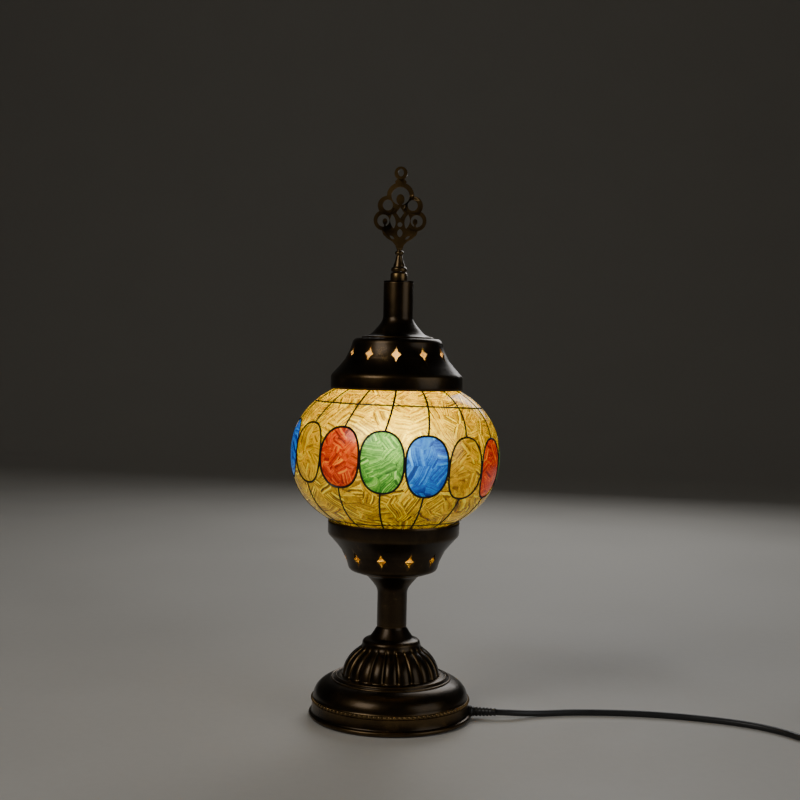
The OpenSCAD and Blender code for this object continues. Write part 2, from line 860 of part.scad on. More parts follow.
module cord_coil() {
    color("black")
    translate([coil_at[0], coil_at[1], 0])
    difference() {
        rotate_extrude()
            translate([coil_r - coil_w / 2, 0]) square([coil_w, coil_h]);
        rotate(180) translate([coil_r - coil_w / 2 - 3, -tie_w / 2 - 0.3, -1])
            cube([coil_w + 6, tie_w + 0.6, coil_h + 2]);
    }
}

module cord_tie() {
    color("dimgray")
    translate([coil_at[0], coil_at[1], 0]) rotate(180)
        translate([coil_r - coil_w / 2 - tie_t, tie_w / 2, 0]) rotate([90, 0, 0])
            difference() {
                linear_extrude(height = tie_w) square([coil_w + 2 * tie_t, coil_h + 2 * tie_t]);
                translate([tie_t, tie_t, -1]) linear_extrude(height = tie_w + 2)
                    square([coil_w, coil_h]);
            }
}

// Outline of the in-line switch from above, drawn in by t all round
module switch_plan(t)
    hull() {
        for (x = [-1, 1]) {
            translate([x * (switch_l / 2 - 9), 0]) square([2 * 8 - 2 * t, 2 * (switch_w / 2 - 4 - t)], center = true);
            translate([x * (switch_l / 2 - 16), 0]) circle(r = switch_w / 2 - t, $fn = 48);
            translate([x * (switch_l / 2 - 1), 0]) square([2 - 2 * min(t, 0.9), 9 - t], center = true);
        }
    }

module switch_bottom() {
    color("black")
    translate([switch_mid[0], switch_mid[1], 0])
    difference() {
        linear_extrude(height = switch_split) switch_plan(0);
        translate([0, 0, switch_wall]) linear_extrude(height = switch_split) switch_plan(switch_wall + 3);
        for (s = [-1, 1])
            translate([s * switch_screw_at, 0, -1]) cylinder(r = 1.1, h = 4);
    }
}

module switch_top() {
    slot_l = rocker_l + 2;
    slot_w = rocker_w + 0.8;
    cheek_y = rocker_w / 2 + 0.3;
    color("black")
    translate([switch_mid[0], switch_mid[1], switch_split])
    difference() {
        union() {
            difference() {
                linear_extrude(height = switch_h - switch_split) switch_plan(0);
                translate([0, 0, -1])
                    linear_extrude(height = switch_h - switch_split - switch_wall + 1)
                        switch_plan(switch_wall + 3);
            }
            for (s = [-1, 1]) {
                translate([-4, s * (cheek_y + 0.9) - 0.9, 0]) cube([8, 1.8, 7]);
                translate([s * switch_screw_at, 0, 0]) cylinder(r = 2.6, h = 7);
            }
        }
        translate([-slot_l / 2, -slot_w / 2, 1]) cube([slot_l, slot_w, 12]);
        translate([0, -8, rocker_pivot_z - switch_split]) rotate([-90, 0, 0])
            cylinder(r = pivot_r + slide_fit, h = 16);
        for (s = [-1, 1])
            translate([s * switch_screw_at, 0, -1]) cylinder(r = 0.9, h = 5);
    }
}

module switch_rocker() {
    half_l = rocker_l / 2;
    color("dimgray")
    translate([switch_mid[0], switch_mid[1], rocker_pivot_z]) rotate([0, -rocker_tilt, 0])
    rotate([90, 0, 0]) {
        translate([0, 0, -rocker_w / 2]) linear_extrude(height = rocker_w) union() {
            circle(r = 2.6);
            polygon([
                [-half_l, 1], [half_l, 1], [half_l, 4.6], [half_l - 1.2, 5],
                [0, 3.6], [1.2 - half_l, 5], [-half_l, 4.6]
            ]);
        }
        translate([0, 0, -rocker_w / 2 - pivot_in]) cylinder(r = pivot_r, h = rocker_w + 2 * pivot_in);
    }
}

module switch_screws() {
    color("silver")
    for (s = [-1, 1])
        translate([switch_mid[0] + s * switch_screw_at, switch_mid[1], 0.2]) {
            cylinder(r = 0.85, h = switch_split + 3);
            translate([0, 0, switch_wall - 0.2]) cylinder(r = 2, h = 1.2);
        }
}

module plug_body() {
    color("black")
    hull() {
        translate([plug_x - plug_w / 2 + 5, plug_y + plug_tail, 0.5]) cube([plug_w - 10, 3, plug_h - 1]);
        for (s = [-1, 1])
            translate([plug_x + s * (plug_w / 2 - plug_h / 2), plug_y + plug_l, plug_h / 2])
                rotate([90, 0, 0]) cylinder(r = plug_h / 2, h = plug_l - plug_tail - 8, $fn = 32);
        translate([plug_x, plug_y, plug_h / 2]) rotate([-90, 0, 0]) cylinder(r = 3.6, h = 6, $fn = 32);
    }
}

module plug_pins() {
    color("silver")
    for (s = [-1, 1])
        translate([plug_x + s * pin_gap / 2, plug_y + plug_l, plug_h / 2]) rotate([-90, 0, 0])
            cylinder(r = pin_r, h = pin_l);
}

// --- Every node -----------------------------------------------------------

felt_pad();
base_plate();
base_screws();
base_weight();
base_shell();
bead_band();
fluted_dome();
base_washer();
base_locknut();
threaded_rod();
lower_neck();
lower_gallery();
gallery_washer();
gallery_nut();
lower_seal();
holder_cap();
holder_sleeve();
holder_core();
thread_shell();
centre_contact();
inner_lead();
globe_glass();
tiles_blue();
tiles_amber();
tiles_red();
tiles_green();
field_upper();
field_lower();
field_crown();
field_foot();
came_lines();
upper_seal();
cap_gallery();
cap_neck();
cap_washer();
cap_nut();
cap_rod();
cap_top_washer();
finial_collar();
finial_ferrule();
finial_filigree();
bulb_glass();
bulb_cap();
bulb_stem();
bulb_filament();
cord_relief();
cord_run();
switch_bottom();
switch_top();
switch_rocker();
switch_screws();
cord_link();
cord_coil();
cord_tie();
cord_tail();
plug_body();
plug_pins();
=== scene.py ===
# %% [markdown]
# # A mosaic glass table lamp
# The finished lamp has a blown glass globe covered in coloured glass, held between two pierced
# metal galleries. This lesson builds its visible skin piece by piece over a fixed working frame.
# The frame is loaded first, so each new piece can be laid exactly where the working part is.

import json
import math
import random

import bmesh
import bpy
from mathutils import Matrix, Vector


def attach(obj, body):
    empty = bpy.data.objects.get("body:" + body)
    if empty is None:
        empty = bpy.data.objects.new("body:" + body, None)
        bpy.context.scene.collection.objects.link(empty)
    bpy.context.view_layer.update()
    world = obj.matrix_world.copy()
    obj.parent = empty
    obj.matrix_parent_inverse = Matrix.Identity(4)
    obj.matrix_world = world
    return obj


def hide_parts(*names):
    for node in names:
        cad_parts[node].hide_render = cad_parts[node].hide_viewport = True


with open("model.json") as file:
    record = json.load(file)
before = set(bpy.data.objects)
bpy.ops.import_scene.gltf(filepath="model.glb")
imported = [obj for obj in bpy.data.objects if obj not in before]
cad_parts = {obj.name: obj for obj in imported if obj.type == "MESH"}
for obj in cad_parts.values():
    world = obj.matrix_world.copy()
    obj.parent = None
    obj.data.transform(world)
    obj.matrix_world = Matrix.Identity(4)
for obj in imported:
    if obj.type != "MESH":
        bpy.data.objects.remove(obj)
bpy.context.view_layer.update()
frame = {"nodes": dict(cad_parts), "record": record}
nodes = frame["nodes"]
MM = 0.001

# %% [markdown]
# ## Helpers for working by operator
# Blender's operators act on everything that is selected. So every step starts by clearing the
# selection, and ends by putting the piece's place into its mesh and letting it ride on a body.

# %% Selection and settling
def deselect():
    for o in bpy.context.selected_objects:
        o.select_set(False)


def only(o):
    deselect()
    o.select_set(True)
    bpy.context.view_layer.objects.active = o


def edit(o):
    """Goes into edit mode with everything selected."""
    only(o)
    bpy.ops.object.mode_set(mode="EDIT")
    bpy.ops.mesh.select_all(action="SELECT")


def leave():
    bpy.ops.object.mode_set(mode="OBJECT")


def settle(o, name, body, stands_for=()):
    """Puts the place in the mesh, names the piece, and lets it ride."""
    only(o)
    bpy.ops.object.transform_apply(location=True, rotation=True, scale=True)
    o.name = name
    o.data.name = name
    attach(o, body)
    if stands_for:
        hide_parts(*stands_for)
    return o


def outward(o):
    """Merges doubles and turns all faces outwards."""
    edit(o)
    bpy.ops.mesh.remove_doubles(threshold=1e-6)
    bpy.ops.mesh.normals_make_consistent(inside=False)
    leave()


def smooth(o, angle=35):
    only(o)
    bpy.ops.object.shade_smooth_by_angle(angle=math.radians(angle))


def join(parts):
    deselect()
    for p in parts:
        p.select_set(True)
    bpy.context.view_layer.objects.active = parts[0]
    bpy.ops.object.join()
    return parts[0]


def triangles(o):
    return sum(len(p.vertices) - 2 for p in o.data.polygons)


print("helpers ready")

# %% [markdown]
# ## The camera
# A portrait of a table lamp is taken from a little above the table, about a metre away. A
# slightly long lens keeps the globe round. The small roll is the lean that the lamp shows.

# %% Camera
camera_data = bpy.data.cameras.new("camera")
camera = bpy.data.objects.new("camera", camera_data)
bpy.context.scene.collection.objects.link(camera)
camera_data.sensor_width = 36
camera_data.lens = 58.95
camera_data.dof.use_dof = False
camera.matrix_world = (
    Matrix.Translation((0.0028, -0.998, 0.279))
    @ Matrix.Rotation(math.radians(90 - 2.1), 4, "X")
    @ Matrix.Rotation(math.radians(1.2), 4, "Z")
)
camera_data.clip_start = 0.01
bpy.context.scene.camera = camera
print("camera at", [round(v, 3) for v in camera.location])

# %% [markdown]
# ## The mains cord
# A round black two-core cord leaves the base through a strain relief, lies over the table in
# loose bends, passes a switch, and ends in a plug. Its spare length is wound in a flat coil of
# two layers. A curve with a round bevel draws it round one centreline, which also gives its
# length, and the curve is then made a mesh tube.

# %% Route over the table
CORD_D = 4.8
RUN = [
    (81.39, -4.27, 5), (92, -3.6, 4.6), (101, -1, 3.7), (111, 2.4, 2.8), (122, 5.4, 2.4),
    (136, 8.2, 2.4), (150, 9.8, 2.4), (166, 10.4, 2.4), (182, 10, 2.4), (198, 8.6, 2.4),
    (213, 6, 2.4), (228, 2.4, 2.4), (242, -2, 2.4), (256, -7.2, 2.4), (268, -13, 2.4),
    (279, -20, 2.4), (288, -28, 2.4), (296, -37, 2.4), (302, -46, 2.4),
    (309, -53.4, 3.2), (316, -58, 4.6), (322, -60, 5.6), (328, -60, 6),
]
LINK = [
    (388, -60, 6), (394, -59.4, 5.6), (401, -56.4, 4.6), (407, -51, 3.4), (411, -44, 2.6),
    (413, -36, 2.4), (413.6, -27, 2.4), (413.4, -18, 2.4),
]
TAIL = [(412.4, 7, 7.2), (411.4, 16, 7), (411, 25, 6.9), (411, 34, 6.85)]
COIL_AT = (374, -1)
COIL_PITCH = CORD_D * 1.02
COIL_OUT = 38.6
COIL_TURNS = 4


def smooth_step(t):
    t = min(max(t, 0), 1)
    return t * t * (3 - 2 * t)


def coil_points():
    """Four turns inwards on the table, then four turns outwards on top of them."""
    start, sweep = -11.6, 8 * 360 + 23.4
    points = []
    for i in range(8 * 40 + 1):
        turn = sweep * i / (8 * 40)
        half = sweep / 2
        inward = 1 - abs(turn - half) / half
        r = COIL_OUT - inward * COIL_TURNS * COIL_PITCH
        a = math.radians(start + turn)
        lift = CORD_D * smooth_step((turn - half + 10) / 110)
        over_tie = 0.85 * math.exp(-(((start + turn) % 360 - 180) / 16) ** 2)
        points.append((
            COIL_AT[0] + r * math.cos(a), COIL_AT[1] + r * math.sin(a), 2.4 + lift + over_tie,
        ))
    return points


def catmull(points, step):
    """A smooth line through the points, with a point about every step."""
    out = []
    p = [Vector(q) for q in points]
    for i in range(len(p) - 1):
        a = p[i - 1] if i else p[0] * 2 - p[1]
        d = p[i + 2] if i + 2 < len(p) else p[-1] * 2 - p[-2]
        b, c = p[i], p[i + 1]
        n = max(1, round((c - b).length / step))
        for k in range(n):
            t = k / n
            out.append(0.5 * (
                2 * b + (c - a) * t + (2 * a - 5 * b + 4 * c - d) * t * t
                + (3 * b - a - 3 * c + d) * t ** 3
            ))
    return out + [p[-1]]


route = catmull(RUN + LINK + coil_points()[1:] + TAIL, 3)
cord_length = sum((b - a).length for a, b in zip(route, route[1:])) * MM
print("cord: %d points, %.3f m" % (len(route), cord_length))

# %% The cord as a bevelled curve
cord_curve = bpy.data.curves.new("mains_cord", "CURVE")
cord_curve.dimensions = "3D"
cord_curve.bevel_depth = CORD_D / 2 * MM
cord_curve.bevel_resolution = 3
cord_curve.use_fill_caps = True
spline = cord_curve.splines.new("POLY")
spline.points.add(len(route) - 1)
for point, place in zip(spline.points, route):
    point.co = (*(place * MM), 1)
spline.use_smooth = True
mains_cord = bpy.data.objects.new("mains_cord", cord_curve)
bpy.context.scene.collection.objects.link(mains_cord)
only(mains_cord)
bpy.ops.object.convert(target="MESH")
mains_cord = bpy.context.object
mains_cord.name = "mains_cord"
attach(mains_cord, "root")
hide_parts("cord_run", "cord_link", "cord_coil", "cord_tail")
print("cord made, diameter", CORD_D)

# %% [markdown]
# ## Turned pieces
# Spun and turned metal is round about one axis. The natural way is the lathe: draw half of the
# section as a row of points, each extruded from the last, then spin the row round the axis.

# %% The lathe
def arc(cx, cz, rx, rz, a0, a1, n):
    return [
        (cx + rx * math.cos(math.radians(a0 + (a1 - a0) * i / n)),
         cz + rz * math.sin(math.radians(a0 + (a1 - a0) * i / n)))
        for i in range(n + 1)
    ]


def lathe(profile, steps=144, closed=False):
    """Spins a profile of (radius, height) in millimetres about the vertical axis."""
    deselect()
    x, z = profile[0]
    bpy.ops.mesh.primitive_plane_add(size=MM, location=(x * MM, 0, z * MM))
    o = bpy.context.object
    bpy.ops.object.transform_apply(location=True, rotation=True, scale=True)
    bpy.ops.object.mode_set(mode="EDIT")
    bpy.ops.mesh.select_all(action="SELECT")
    bpy.ops.mesh.merge(type="CENTER")
    for (x0, z0), (x1, z1) in zip(profile, profile[1:]):
        bpy.ops.mesh.extrude_vertices_move(
            TRANSFORM_OT_translate={"value": ((x1 - x0) * MM, 0, (z1 - z0) * MM)})
    bpy.ops.mesh.select_all(action="SELECT")
    if closed:
        bm = bmesh.from_edit_mesh(o.data)
        ends = [v for v in bm.verts if len(v.link_edges) == 1]
        bm.edges.new(ends)
        bmesh.update_edit_mesh(o.data)
        bpy.ops.mesh.select_all(action="SELECT")
    bpy.ops.mesh.spin(steps=steps, angle=2 * math.pi, center=(0, 0, 0), axis=(0, 0, 1))
    bpy.ops.mesh.select_all(action="SELECT")
    bpy.ops.mesh.remove_doubles(threshold=2e-6)
    bpy.ops.mesh.normals_make_consistent(inside=False)
    bpy.ops.object.mode_set(mode="OBJECT")
    return o


def lifted(profile, z, flip=False):
    return [(r, z + (-h if flip else h)) for r, h in profile]


def walled(profile, wall):
    """The profile and its inside, a wall's thickness to the left of the way along it."""
    back = []
    for i, (r, h) in enumerate(profile):
        a, b = profile[max(i - 1, 0)], profile[min(i + 1, len(profile) - 1)]
        d = Vector((b[0] - a[0], b[1] - a[1])).normalized()
        back.append((r - wall * d.y, h + wall * d.x))
    return profile + back[::-1]


print("lathe ready")

# %% [markdown]
# ## The base
# The base is a heavy cast bell: a rolled foot, a straight wall with a groove for the beaded
# band, a round shoulder, and two thin rolled rings under the dome. Small steps catch the light.

# %% Base shell
FOOT_Z = 0.6
base_profile = (
    arc(60.75, FOOT_Z + 1.75, 1.75, 1.75, -90, 90, 10)
    + [(60.4, 4.5), (60, 5.2), (60, 12.2), (59.7, 12.4), (59.1, 12.5), (59.1, 15.3), (59.6, 15.4)]
    + arc(42, 14.8, 17.2, 14.9, 5, 74, 14)
    + [(46.2, 29.25)] + arc(45.2, 29.4, 1, 1, 0, 180, 8)
    + [(43.2, 29.9), (42.8, 30.6)] + arc(41.9, 31.1, 0.9, 0.9, 0, 150, 8)
    + [(40.4, 31.75), (39.2, 32), (36, 32)]
)
base_shell = lathe(walled(base_profile, 1.2), 160, closed=True)
smooth(base_shell, 40)
settle(base_shell, "bronze_base", "root", ["base_shell"])
print("base:", triangles(base_shell), "triangles")

# %% [markdown]
# ## The beaded band
# A strip of small round beads is pressed round the base. One bead is modelled once, low in
# faces because it is repeated, then copied round the ring and joined to a thin backing strip.

# %% Bead band
BEADS = 100
bead_parts = []
deselect()
bpy.ops.mesh.primitive_uv_sphere_add(segments=10, ring_count=7, radius=1.45 * MM, location=(0, 0, 0))
bead = bpy.context.object
bpy.ops.object.mode_set(mode="EDIT")
bpy.ops.mesh.select_all(action="SELECT")
bpy.ops.transform.resize(value=(1.0, 1.12, 1.0))
bpy.ops.object.mode_set(mode="OBJECT")
for i in range(BEADS):
    one = bead.copy()
    one.data = bead.data.copy()
    bpy.context.scene.collection.objects.link(one)
    a = 2 * math.pi * i / BEADS
    one.matrix_world = Matrix.Rotation(a, 4, "Z") @ Matrix.Translation((59.55 * MM, 0, 13.9 * MM))
    bead_parts.append(one)
bpy.data.objects.remove(bead)
strip = lathe(
    [(59.05, 12.55), (59.75, 12.75), (59.85, 13.9), (59.75, 15.05), (59.05, 15.25)], 160,
    closed=True
)
bead_band = join([strip] + bead_parts)
smooth(bead_band, 60)
settle(bead_band, "beaded_band", "root", ["bead_band"])
print("beads:", BEADS, triangles(bead_band), "triangles")

# %% [markdown]
# ## The fluted dome
# Above the base stands a dome pressed into 22 round-ended lobes. It is turned smooth first;
# then every point between two lobes is drawn in towards the axis, more at the middle of the
# flank and not at all at its ends, so the lobes swell out and end round.

# %% Dome
LOBES = 22
DOME_Z = 32
dome_profile = (
    [(37.2, 0.0), (37.7, 0.35)]
    + arc(9.45, -4.1, 28.5, 28.5, 9.5, 56, 26)
    + [(23.6, 21.0), (22.9, 22.2), (22.3, 23.6)]
    + arc(18.2, 24.1, 4, 3.6, 6, 76, 8)
    + [
        (16.9, 28.5), (15.9, 29.6), (15, 30.9), (13.6, 32.9), (12.2, 35.3), (11.2, 36.9),
        (11.2, 37.5), (9.5, 37.5)
    ]
    + [
        (9.5, 33), (12.5, 29), (15.5, 24.5), (19.6, 19.5)
    ] + arc(9.45, -4.1, 25.3, 25.3, 56, 10, 8) + [(34.4, 0)]
)
dome = lathe(lifted(dome_profile, DOME_Z), LOBES * 12, closed=True)


def flute_depth(r, h, angle):
    """How far a point of the dome is drawn in: deep between lobes, nothing at the lobe's ends."""
    if h < 0.2 or h > 21.4 or r < 20:
        return 0.0
    place = (h - 0.2) / 21.2
    along = min(1.0, place / 0.06) * min(1.0, (1 - place) / 0.14)
    along = math.sqrt(max(0.0, along * (2 - along)))
    turn = (angle * LOBES / (2 * math.pi)) % 1.0
    side = abs(turn - 0.5) * 2
    valley = 1 - math.sqrt(max(0.0, 1 - side ** 2.4))
    return 2.3 * valley * along


for v in dome.data.vertices:
    r = math.hypot(v.co.x, v.co.y) / MM
    h = v.co.z / MM - DOME_Z
    cut = flute_depth(r, h, math.atan2(v.co.y, v.co.x) + math.pi / 2 + math.pi / LOBES)
    if cut:
        k = (r - cut) / r
        v.co.x, v.co.y = v.co.x * k, v.co.y * k
smooth(dome, 50)
settle(dome, "fluted_dome_skin", "root", ["fluted_dome"])
print("dome:", LOBES, "lobes,", triangles(dome), "triangles")

# %% [markdown]
# ## Galleries and necks
# The two galleries are the same spun bowl, one turned over, pierced with hollow-sided diamonds.
# The holes are cut with a Boolean modifier: one cutter is drawn, copied round, and joined.

# %% Gallery bowl
GALLERY_H, WALL = 38.7, 1.2
LOW_RIM_Z, TOP_RIM_Z = 150.5, 250.5
gallery_profile = (
    [(6, -GALLERY_H), (27.6, -GALLERY_H)]
    + arc(30.12, -GALLERY_H + 5, 4.4, 5, -78, -8, 8)
    + [(35.6, -30.7), (38.2, -25.2), (38.9, -24.0), (39.5, -22.6)]
    + [(43.6, -17.5), (48.0, -12.6), (49.2, -11.4), (49.9, -10.2), (50.2, -8.8)]
    + [(50.2, -2.2), (50.2, -0.5), (50.0, -0.12), (49.6, 0)]
)


def star_cutter(phase):
    """Eleven hollow-sided diamond prisms round the bowl, as one object."""
    w, h, k = 7.2 / 2, 11 / 2, 0.38
    corners = [
        (w, 0), (w * k, h * k), (0, h), (-w * k, h * k), (-w, 0), (-w * k, -h * k), (0, -h),
        (w * k, -h * k)
    ]
    prisms = []
    for i in range(11):
        deselect()
        bpy.ops.mesh.primitive_circle_add(vertices=8, radius=w * MM, fill_type="NGON", location=(0, 0, 0))
        prism = bpy.context.object
        for v, (x, z) in zip(prism.data.vertices, corners):
            v.co = Vector((x * MM, -24 * MM, z * MM))
        bpy.ops.object.mode_set(mode="EDIT")
        bpy.ops.mesh.select_all(action="SELECT")
        bpy.ops.mesh.extrude_region_move(TRANSFORM_OT_translate={"value": (0, -26 * MM, 0)})
        bpy.ops.mesh.select_all(action="SELECT")
        bpy.ops.mesh.normals_make_consistent(inside=False)
        bpy.ops.object.mode_set(mode="OBJECT")
        prism.matrix_world = Matrix.Rotation(math.radians(phase + i * 360 / 11), 4, "Z")
        prisms.append(prism)
    return join(prisms)


def gallery(name, body, node, z, flip, phase):
    side = -1 if flip else 1
    bowl = lathe(lifted(walled(gallery_profile, WALL), z, flip), 132, closed=True)
    cutter = star_cutter(phase)
    cutter.location.z += (z - side * (GALLERY_H - 12.1)) * MM
    bpy.context.view_layer.update()
    only(bowl)
    cut = bowl.modifiers.new("pierce", "BOOLEAN")
    cut.operation = "DIFFERENCE"
    cut.solver = "EXACT"
    cut.object = cutter
    bpy.ops.object.modifier_apply(modifier=cut.name)
    bpy.data.objects.remove(cutter)
    smooth(bowl, 32)
    settle(bowl, name, body, [node])
    print(name, triangles(bowl), "triangles")
    return bowl


lower_bowl = gallery("lower_bowl", "root", "lower_gallery", LOW_RIM_Z, False, -13.3)
cap_bowl = gallery("cap_bowl", "cap", "cap_gallery", TOP_RIM_Z, True, -1.0)

# %% Necks
neck_profile = (
    [(10.9, -42.3), (11.3, -42.1), (11.4, -41.6), (11.4, -16.4)]
    + [(11.6, -15.2), (12.0, -13.9), (12.6, -12.6), (13.4, -11.3), (14.4, -10), (15.3, -8.8), (16.4, -7.6)]
    + [
        (17.5, -6.3), (18.6, -5), (19.8, -3.9), (21, -3), (22.7, -2.2), (24.4, -1.7), (27.0, -1.25),
        (27.4, -0.6), (27.2, -0.05)
    ]
)
lower_stem = lathe(lifted(walled(neck_profile, 1.0), 111.8), 96, closed=True)
smooth(lower_stem, 40)
settle(lower_stem, "lower_stem", "root", ["lower_neck"])
cap_stem = lathe(lifted(walled(neck_profile, 1.0), 289.2, True), 96, closed=True)
smooth(cap_stem, 40)
settle(cap_stem, "cap_stem", "cap", ["cap_neck"])
print("necks:", triangles(lower_stem), triangles(cap_stem), "triangles")

# %% [markdown]
# ## The finial
# Under the openwork sit a washer, a round nut and a turned ferrule with a bell, a waist and a
# bead. The openwork itself is a flat casting with soft edges: its outline is laid out as rings,
# lobes and leaves, cut through, and its edges are rounded with a bevel.

# %% Ferrule and collar
ferrule_profile = (
    [(0, 0), (5.5, 0), (5.9, 0.3), (6.0, 1.2)] + arc(2.7, 1.6, 3.4, 2.6, 0, 56, 8)
    + [(4.4, 4.6), (4.1, 5.6), (3.6, 6.8), (3.25, 8), (2.95, 9.2), (2.75, 10.2), (2.5, 11.2), (2.4, 11.8)]
    + arc(1, 14.1, 2.4, 2, -62, 62, 12) + [(2.05, 16.2), (2.1, 16.7), (2.35, 17.1), (2.4, 17.6), (0, 17.6)]
)
ferrule = lathe(lifted(ferrule_profile, 339.8), 64)
smooth(ferrule, 40)
settle(ferrule, "finial_turning", "finial", ["finial_ferrule"])
collar_profile = [
    (3, 0), (5.9, 0), (6.3, 0.3), (6.4, 0.8), (6.4, 5.3), (6.2, 5.7), (5.2, 6.7), (4.8, 6.8),
    (3, 6.8)
]
collar = lathe(lifted(collar_profile, 332.7), 64, closed=True)
smooth(collar, 40)
settle(collar, "round_nut", "cap", ["finial_collar"])
print("ferrule and collar:", triangles(ferrule), triangles(collar), "triangles")

# %% Openwork plate
PLATE_T, PLATE_Z = 3.4, 357.2


def disc(x, z, rx, rz=None, turn=0, sides=40, thick=PLATE_T):
    """An upright solid disc or ellipse, standing across the view."""
    deselect()
    bpy.ops.mesh.primitive_cylinder_add(vertices=sides, radius=MM, depth=thick * MM)
    o = bpy.context.object
    bpy.ops.object.mode_set(mode="EDIT")
    bpy.ops.mesh.select_all(action="SELECT")
    bpy.ops.transform.resize(value=(rx, rz or rx, 1))
    bpy.ops.object.mode_set(mode="OBJECT")
    o.matrix_world = (
        Matrix.Translation((x * MM, 0, (z + PLATE_Z) * MM))
        @ Matrix.Rotation(math.radians(turn), 4, "Y") @ Matrix.Rotation(math.pi / 2, 4, "X")
    )
    bpy.context.view_layer.update()
    bpy.ops.object.transform_apply(location=True, rotation=True, scale=True)
    return o


def plate(points, thick=PLATE_T):
    """An upright solid with the given outline."""
    deselect()
    bpy.ops.mesh.primitive_circle_add(vertices=len(points), radius=MM, fill_type="NGON")
    o = bpy.context.object
    for v, (x, z) in zip(o.data.vertices, points):
        v.co = Vector((x * MM, -thick / 2 * MM, (z + PLATE_Z) * MM))
    bpy.ops.object.mode_set(mode="EDIT")
    bpy.ops.mesh.select_all(action="SELECT")
    bpy.ops.mesh.extrude_region_move(TRANSFORM_OT_translate={"value": (0, thick * MM, 0)})
    bpy.ops.mesh.select_all(action="SELECT")
    bpy.ops.mesh.normals_make_consistent(inside=False)
    bpy.ops.object.mode_set(mode="OBJECT")
    return o


def leaf(x, z, w, h, turn=0, n=10):
    """A pointed leaf outline of width w and height h about (x, z)."""
    r = (w * w + h * h) / (4 * w)
    half = math.asin(min(1, h / 2 / r))
    right = [(
        r * math.cos(-half + 2 * half * i / n) - r + w / 2, r * math.sin(-half + 2 * half * i / n)
    ) for i in range(n + 1)]
    outline = right + [(-a, -b) for a, b in right[1:-1]]
    c, s = math.cos(math.radians(turn)), math.sin(math.radians(turn))
    return [(x + a * c - b * s, z + a * s + b * c) for a, b in outline]


def combine(base, others, operation):
    for other in others:
        only(base)
        m = base.modifiers.new("b", "BOOLEAN")
        m.operation = operation
        m.solver = "EXACT"
        m.object = other
        bpy.ops.object.modifier_apply(modifier=m.name)
        bpy.data.objects.remove(other)
    return base


DEEP = PLATE_T + 2
body_points = [
    (-9, 36), (-14, 14.5), (-12.6, 10.6), (-9.4, 7.6), (-5.4, 5.2), (-3.2, 2.6), (-2.4, 0.3),
    (2.4, 0.3), (3.2, 2.6), (5.4, 5.2), (9.4, 7.6), (12.6, 10.6), (14, 14.5), (9, 36),
]
openwork = plate(body_points)
adds = [
    disc(0, 57, 4.95), disc(0, 39.8, 10.3),
    plate([(-4.4, 50.4), (-2.4, 53), (2.4, 53), (4.4, 50.4), (3, 48.2), (-3, 48.2)])
]
for s in (-1, 1):
    adds += [disc(s * 9.8, 32.4, 7.3), disc(s * 12.2, 21.2, 7.8)]
combine(openwork, adds, "UNION")
print("openwork outline:", triangles(openwork), "triangles")

# %% Openwork holes
holes = [
    disc(0, 57.4, 2.2, 2.9, thick=DEEP),
    plate([(0, 31.4), (3.0, 27.1), (0, 22.8), (-3.0, 27.1)], DEEP), disc(0, 18.2, 1.85, thick=DEEP)
]
holes += [plate(leaf(0, 11.8, 4.1, 6.4), DEEP)]
crown = combine(
    disc(0, 39.8, 6.8, thick=DEEP),
    [
        disc(0, 37.2, 3.1, 3.9, thick=DEEP + 1),
        plate([(-1.3, 31), (1.3, 31), (1.0, 36), (-1.0, 36)], DEEP + 1)
    ],
    "DIFFERENCE"
)
holes.append(crown)
for s in (-1, 1):
    holes += [
        disc(s * 9.4, 32.8, 3.8, 4.1, thick=DEEP),
        plate(leaf(s * 5.4, 20.6, 4.0, 11, s * -8), DEEP),
        plate(leaf(s * 5.8, 8.4, 1.8, 4.4, s * -52), DEEP)
    ]
    crescent = combine(
        disc(s * 12.6, 21, 4.6, thick=DEEP),
        [
            disc(s * 11.4, 20.4, 1.8, 2.3, thick=DEEP + 1),
            plate(
                [(s * 11.4 - 0.8, 14), (s * 11.4 + 0.8, 14), (s * 11.4 + 0.6, 19), (s * 11.4 - 0.6, 19)],
                DEEP + 1
            )
        ],
        "DIFFERENCE"
    )
    holes.append(crescent)
combine(openwork, holes, "DIFFERENCE")
only(openwork)
soft = openwork.modifiers.new("soft edges", "BEVEL")
soft.width = 0.45 * MM
soft.segments = 3
soft.limit_method = "ANGLE"
soft.angle_limit = math.radians(60)
bpy.ops.object.modifier_apply(modifier=soft.name)
outward(openwork)
smooth(openwork, 40)
settle(openwork, "openwork_finial", "finial", ["finial_filigree"])
print("openwork:", triangles(openwork), "triangles")

# %% [markdown]
# ## The globe's surface
# The globe's outline is a little squarer than an ellipse. Every tile, line and panel is laid on
# it by the same rule, so one small function gives the radius at any height and depth.

# %% Surface rule
GLOBE_R, GLOBE_B, GLOBE_Z, POWER = 80.0, 60.03, 200.5, 2.2
OVALS, FIRST, SLANT, LIFT = 15, -6.7, 4.3, -0.5
OVAL_W, OVAL_H, FULLNESS = 30.8, 42.5, 2.3
RING_TOP, RING_LOW = 38.5, -47.2
random.seed(7)


def radius_at(h, depth):
    """The globe's radius at height h over its middle, depth inside its outermost surface."""
    k = min(1.0, abs(h) / (GLOBE_B - depth))
    return (GLOBE_R - depth) * (1 - k ** POWER) ** (1 / POWER)


def on_globe(longitude, h, depth):
    """A point on the globe. Longitude 0 is the front, and it grows towards +X."""
    r, a = radius_at(h, depth), math.radians(longitude)
    return Vector((r * math.sin(a), -r * math.cos(a), GLOBE_Z + h)) * MM


def oval_longitude(i):
    return FIRST + i * 360 / OVALS


def oval_rise(i):
    return LIFT - GLOBE_R * math.tan(math.radians(SLANT)) * math.sin(math.radians(oval_longitude(i)))


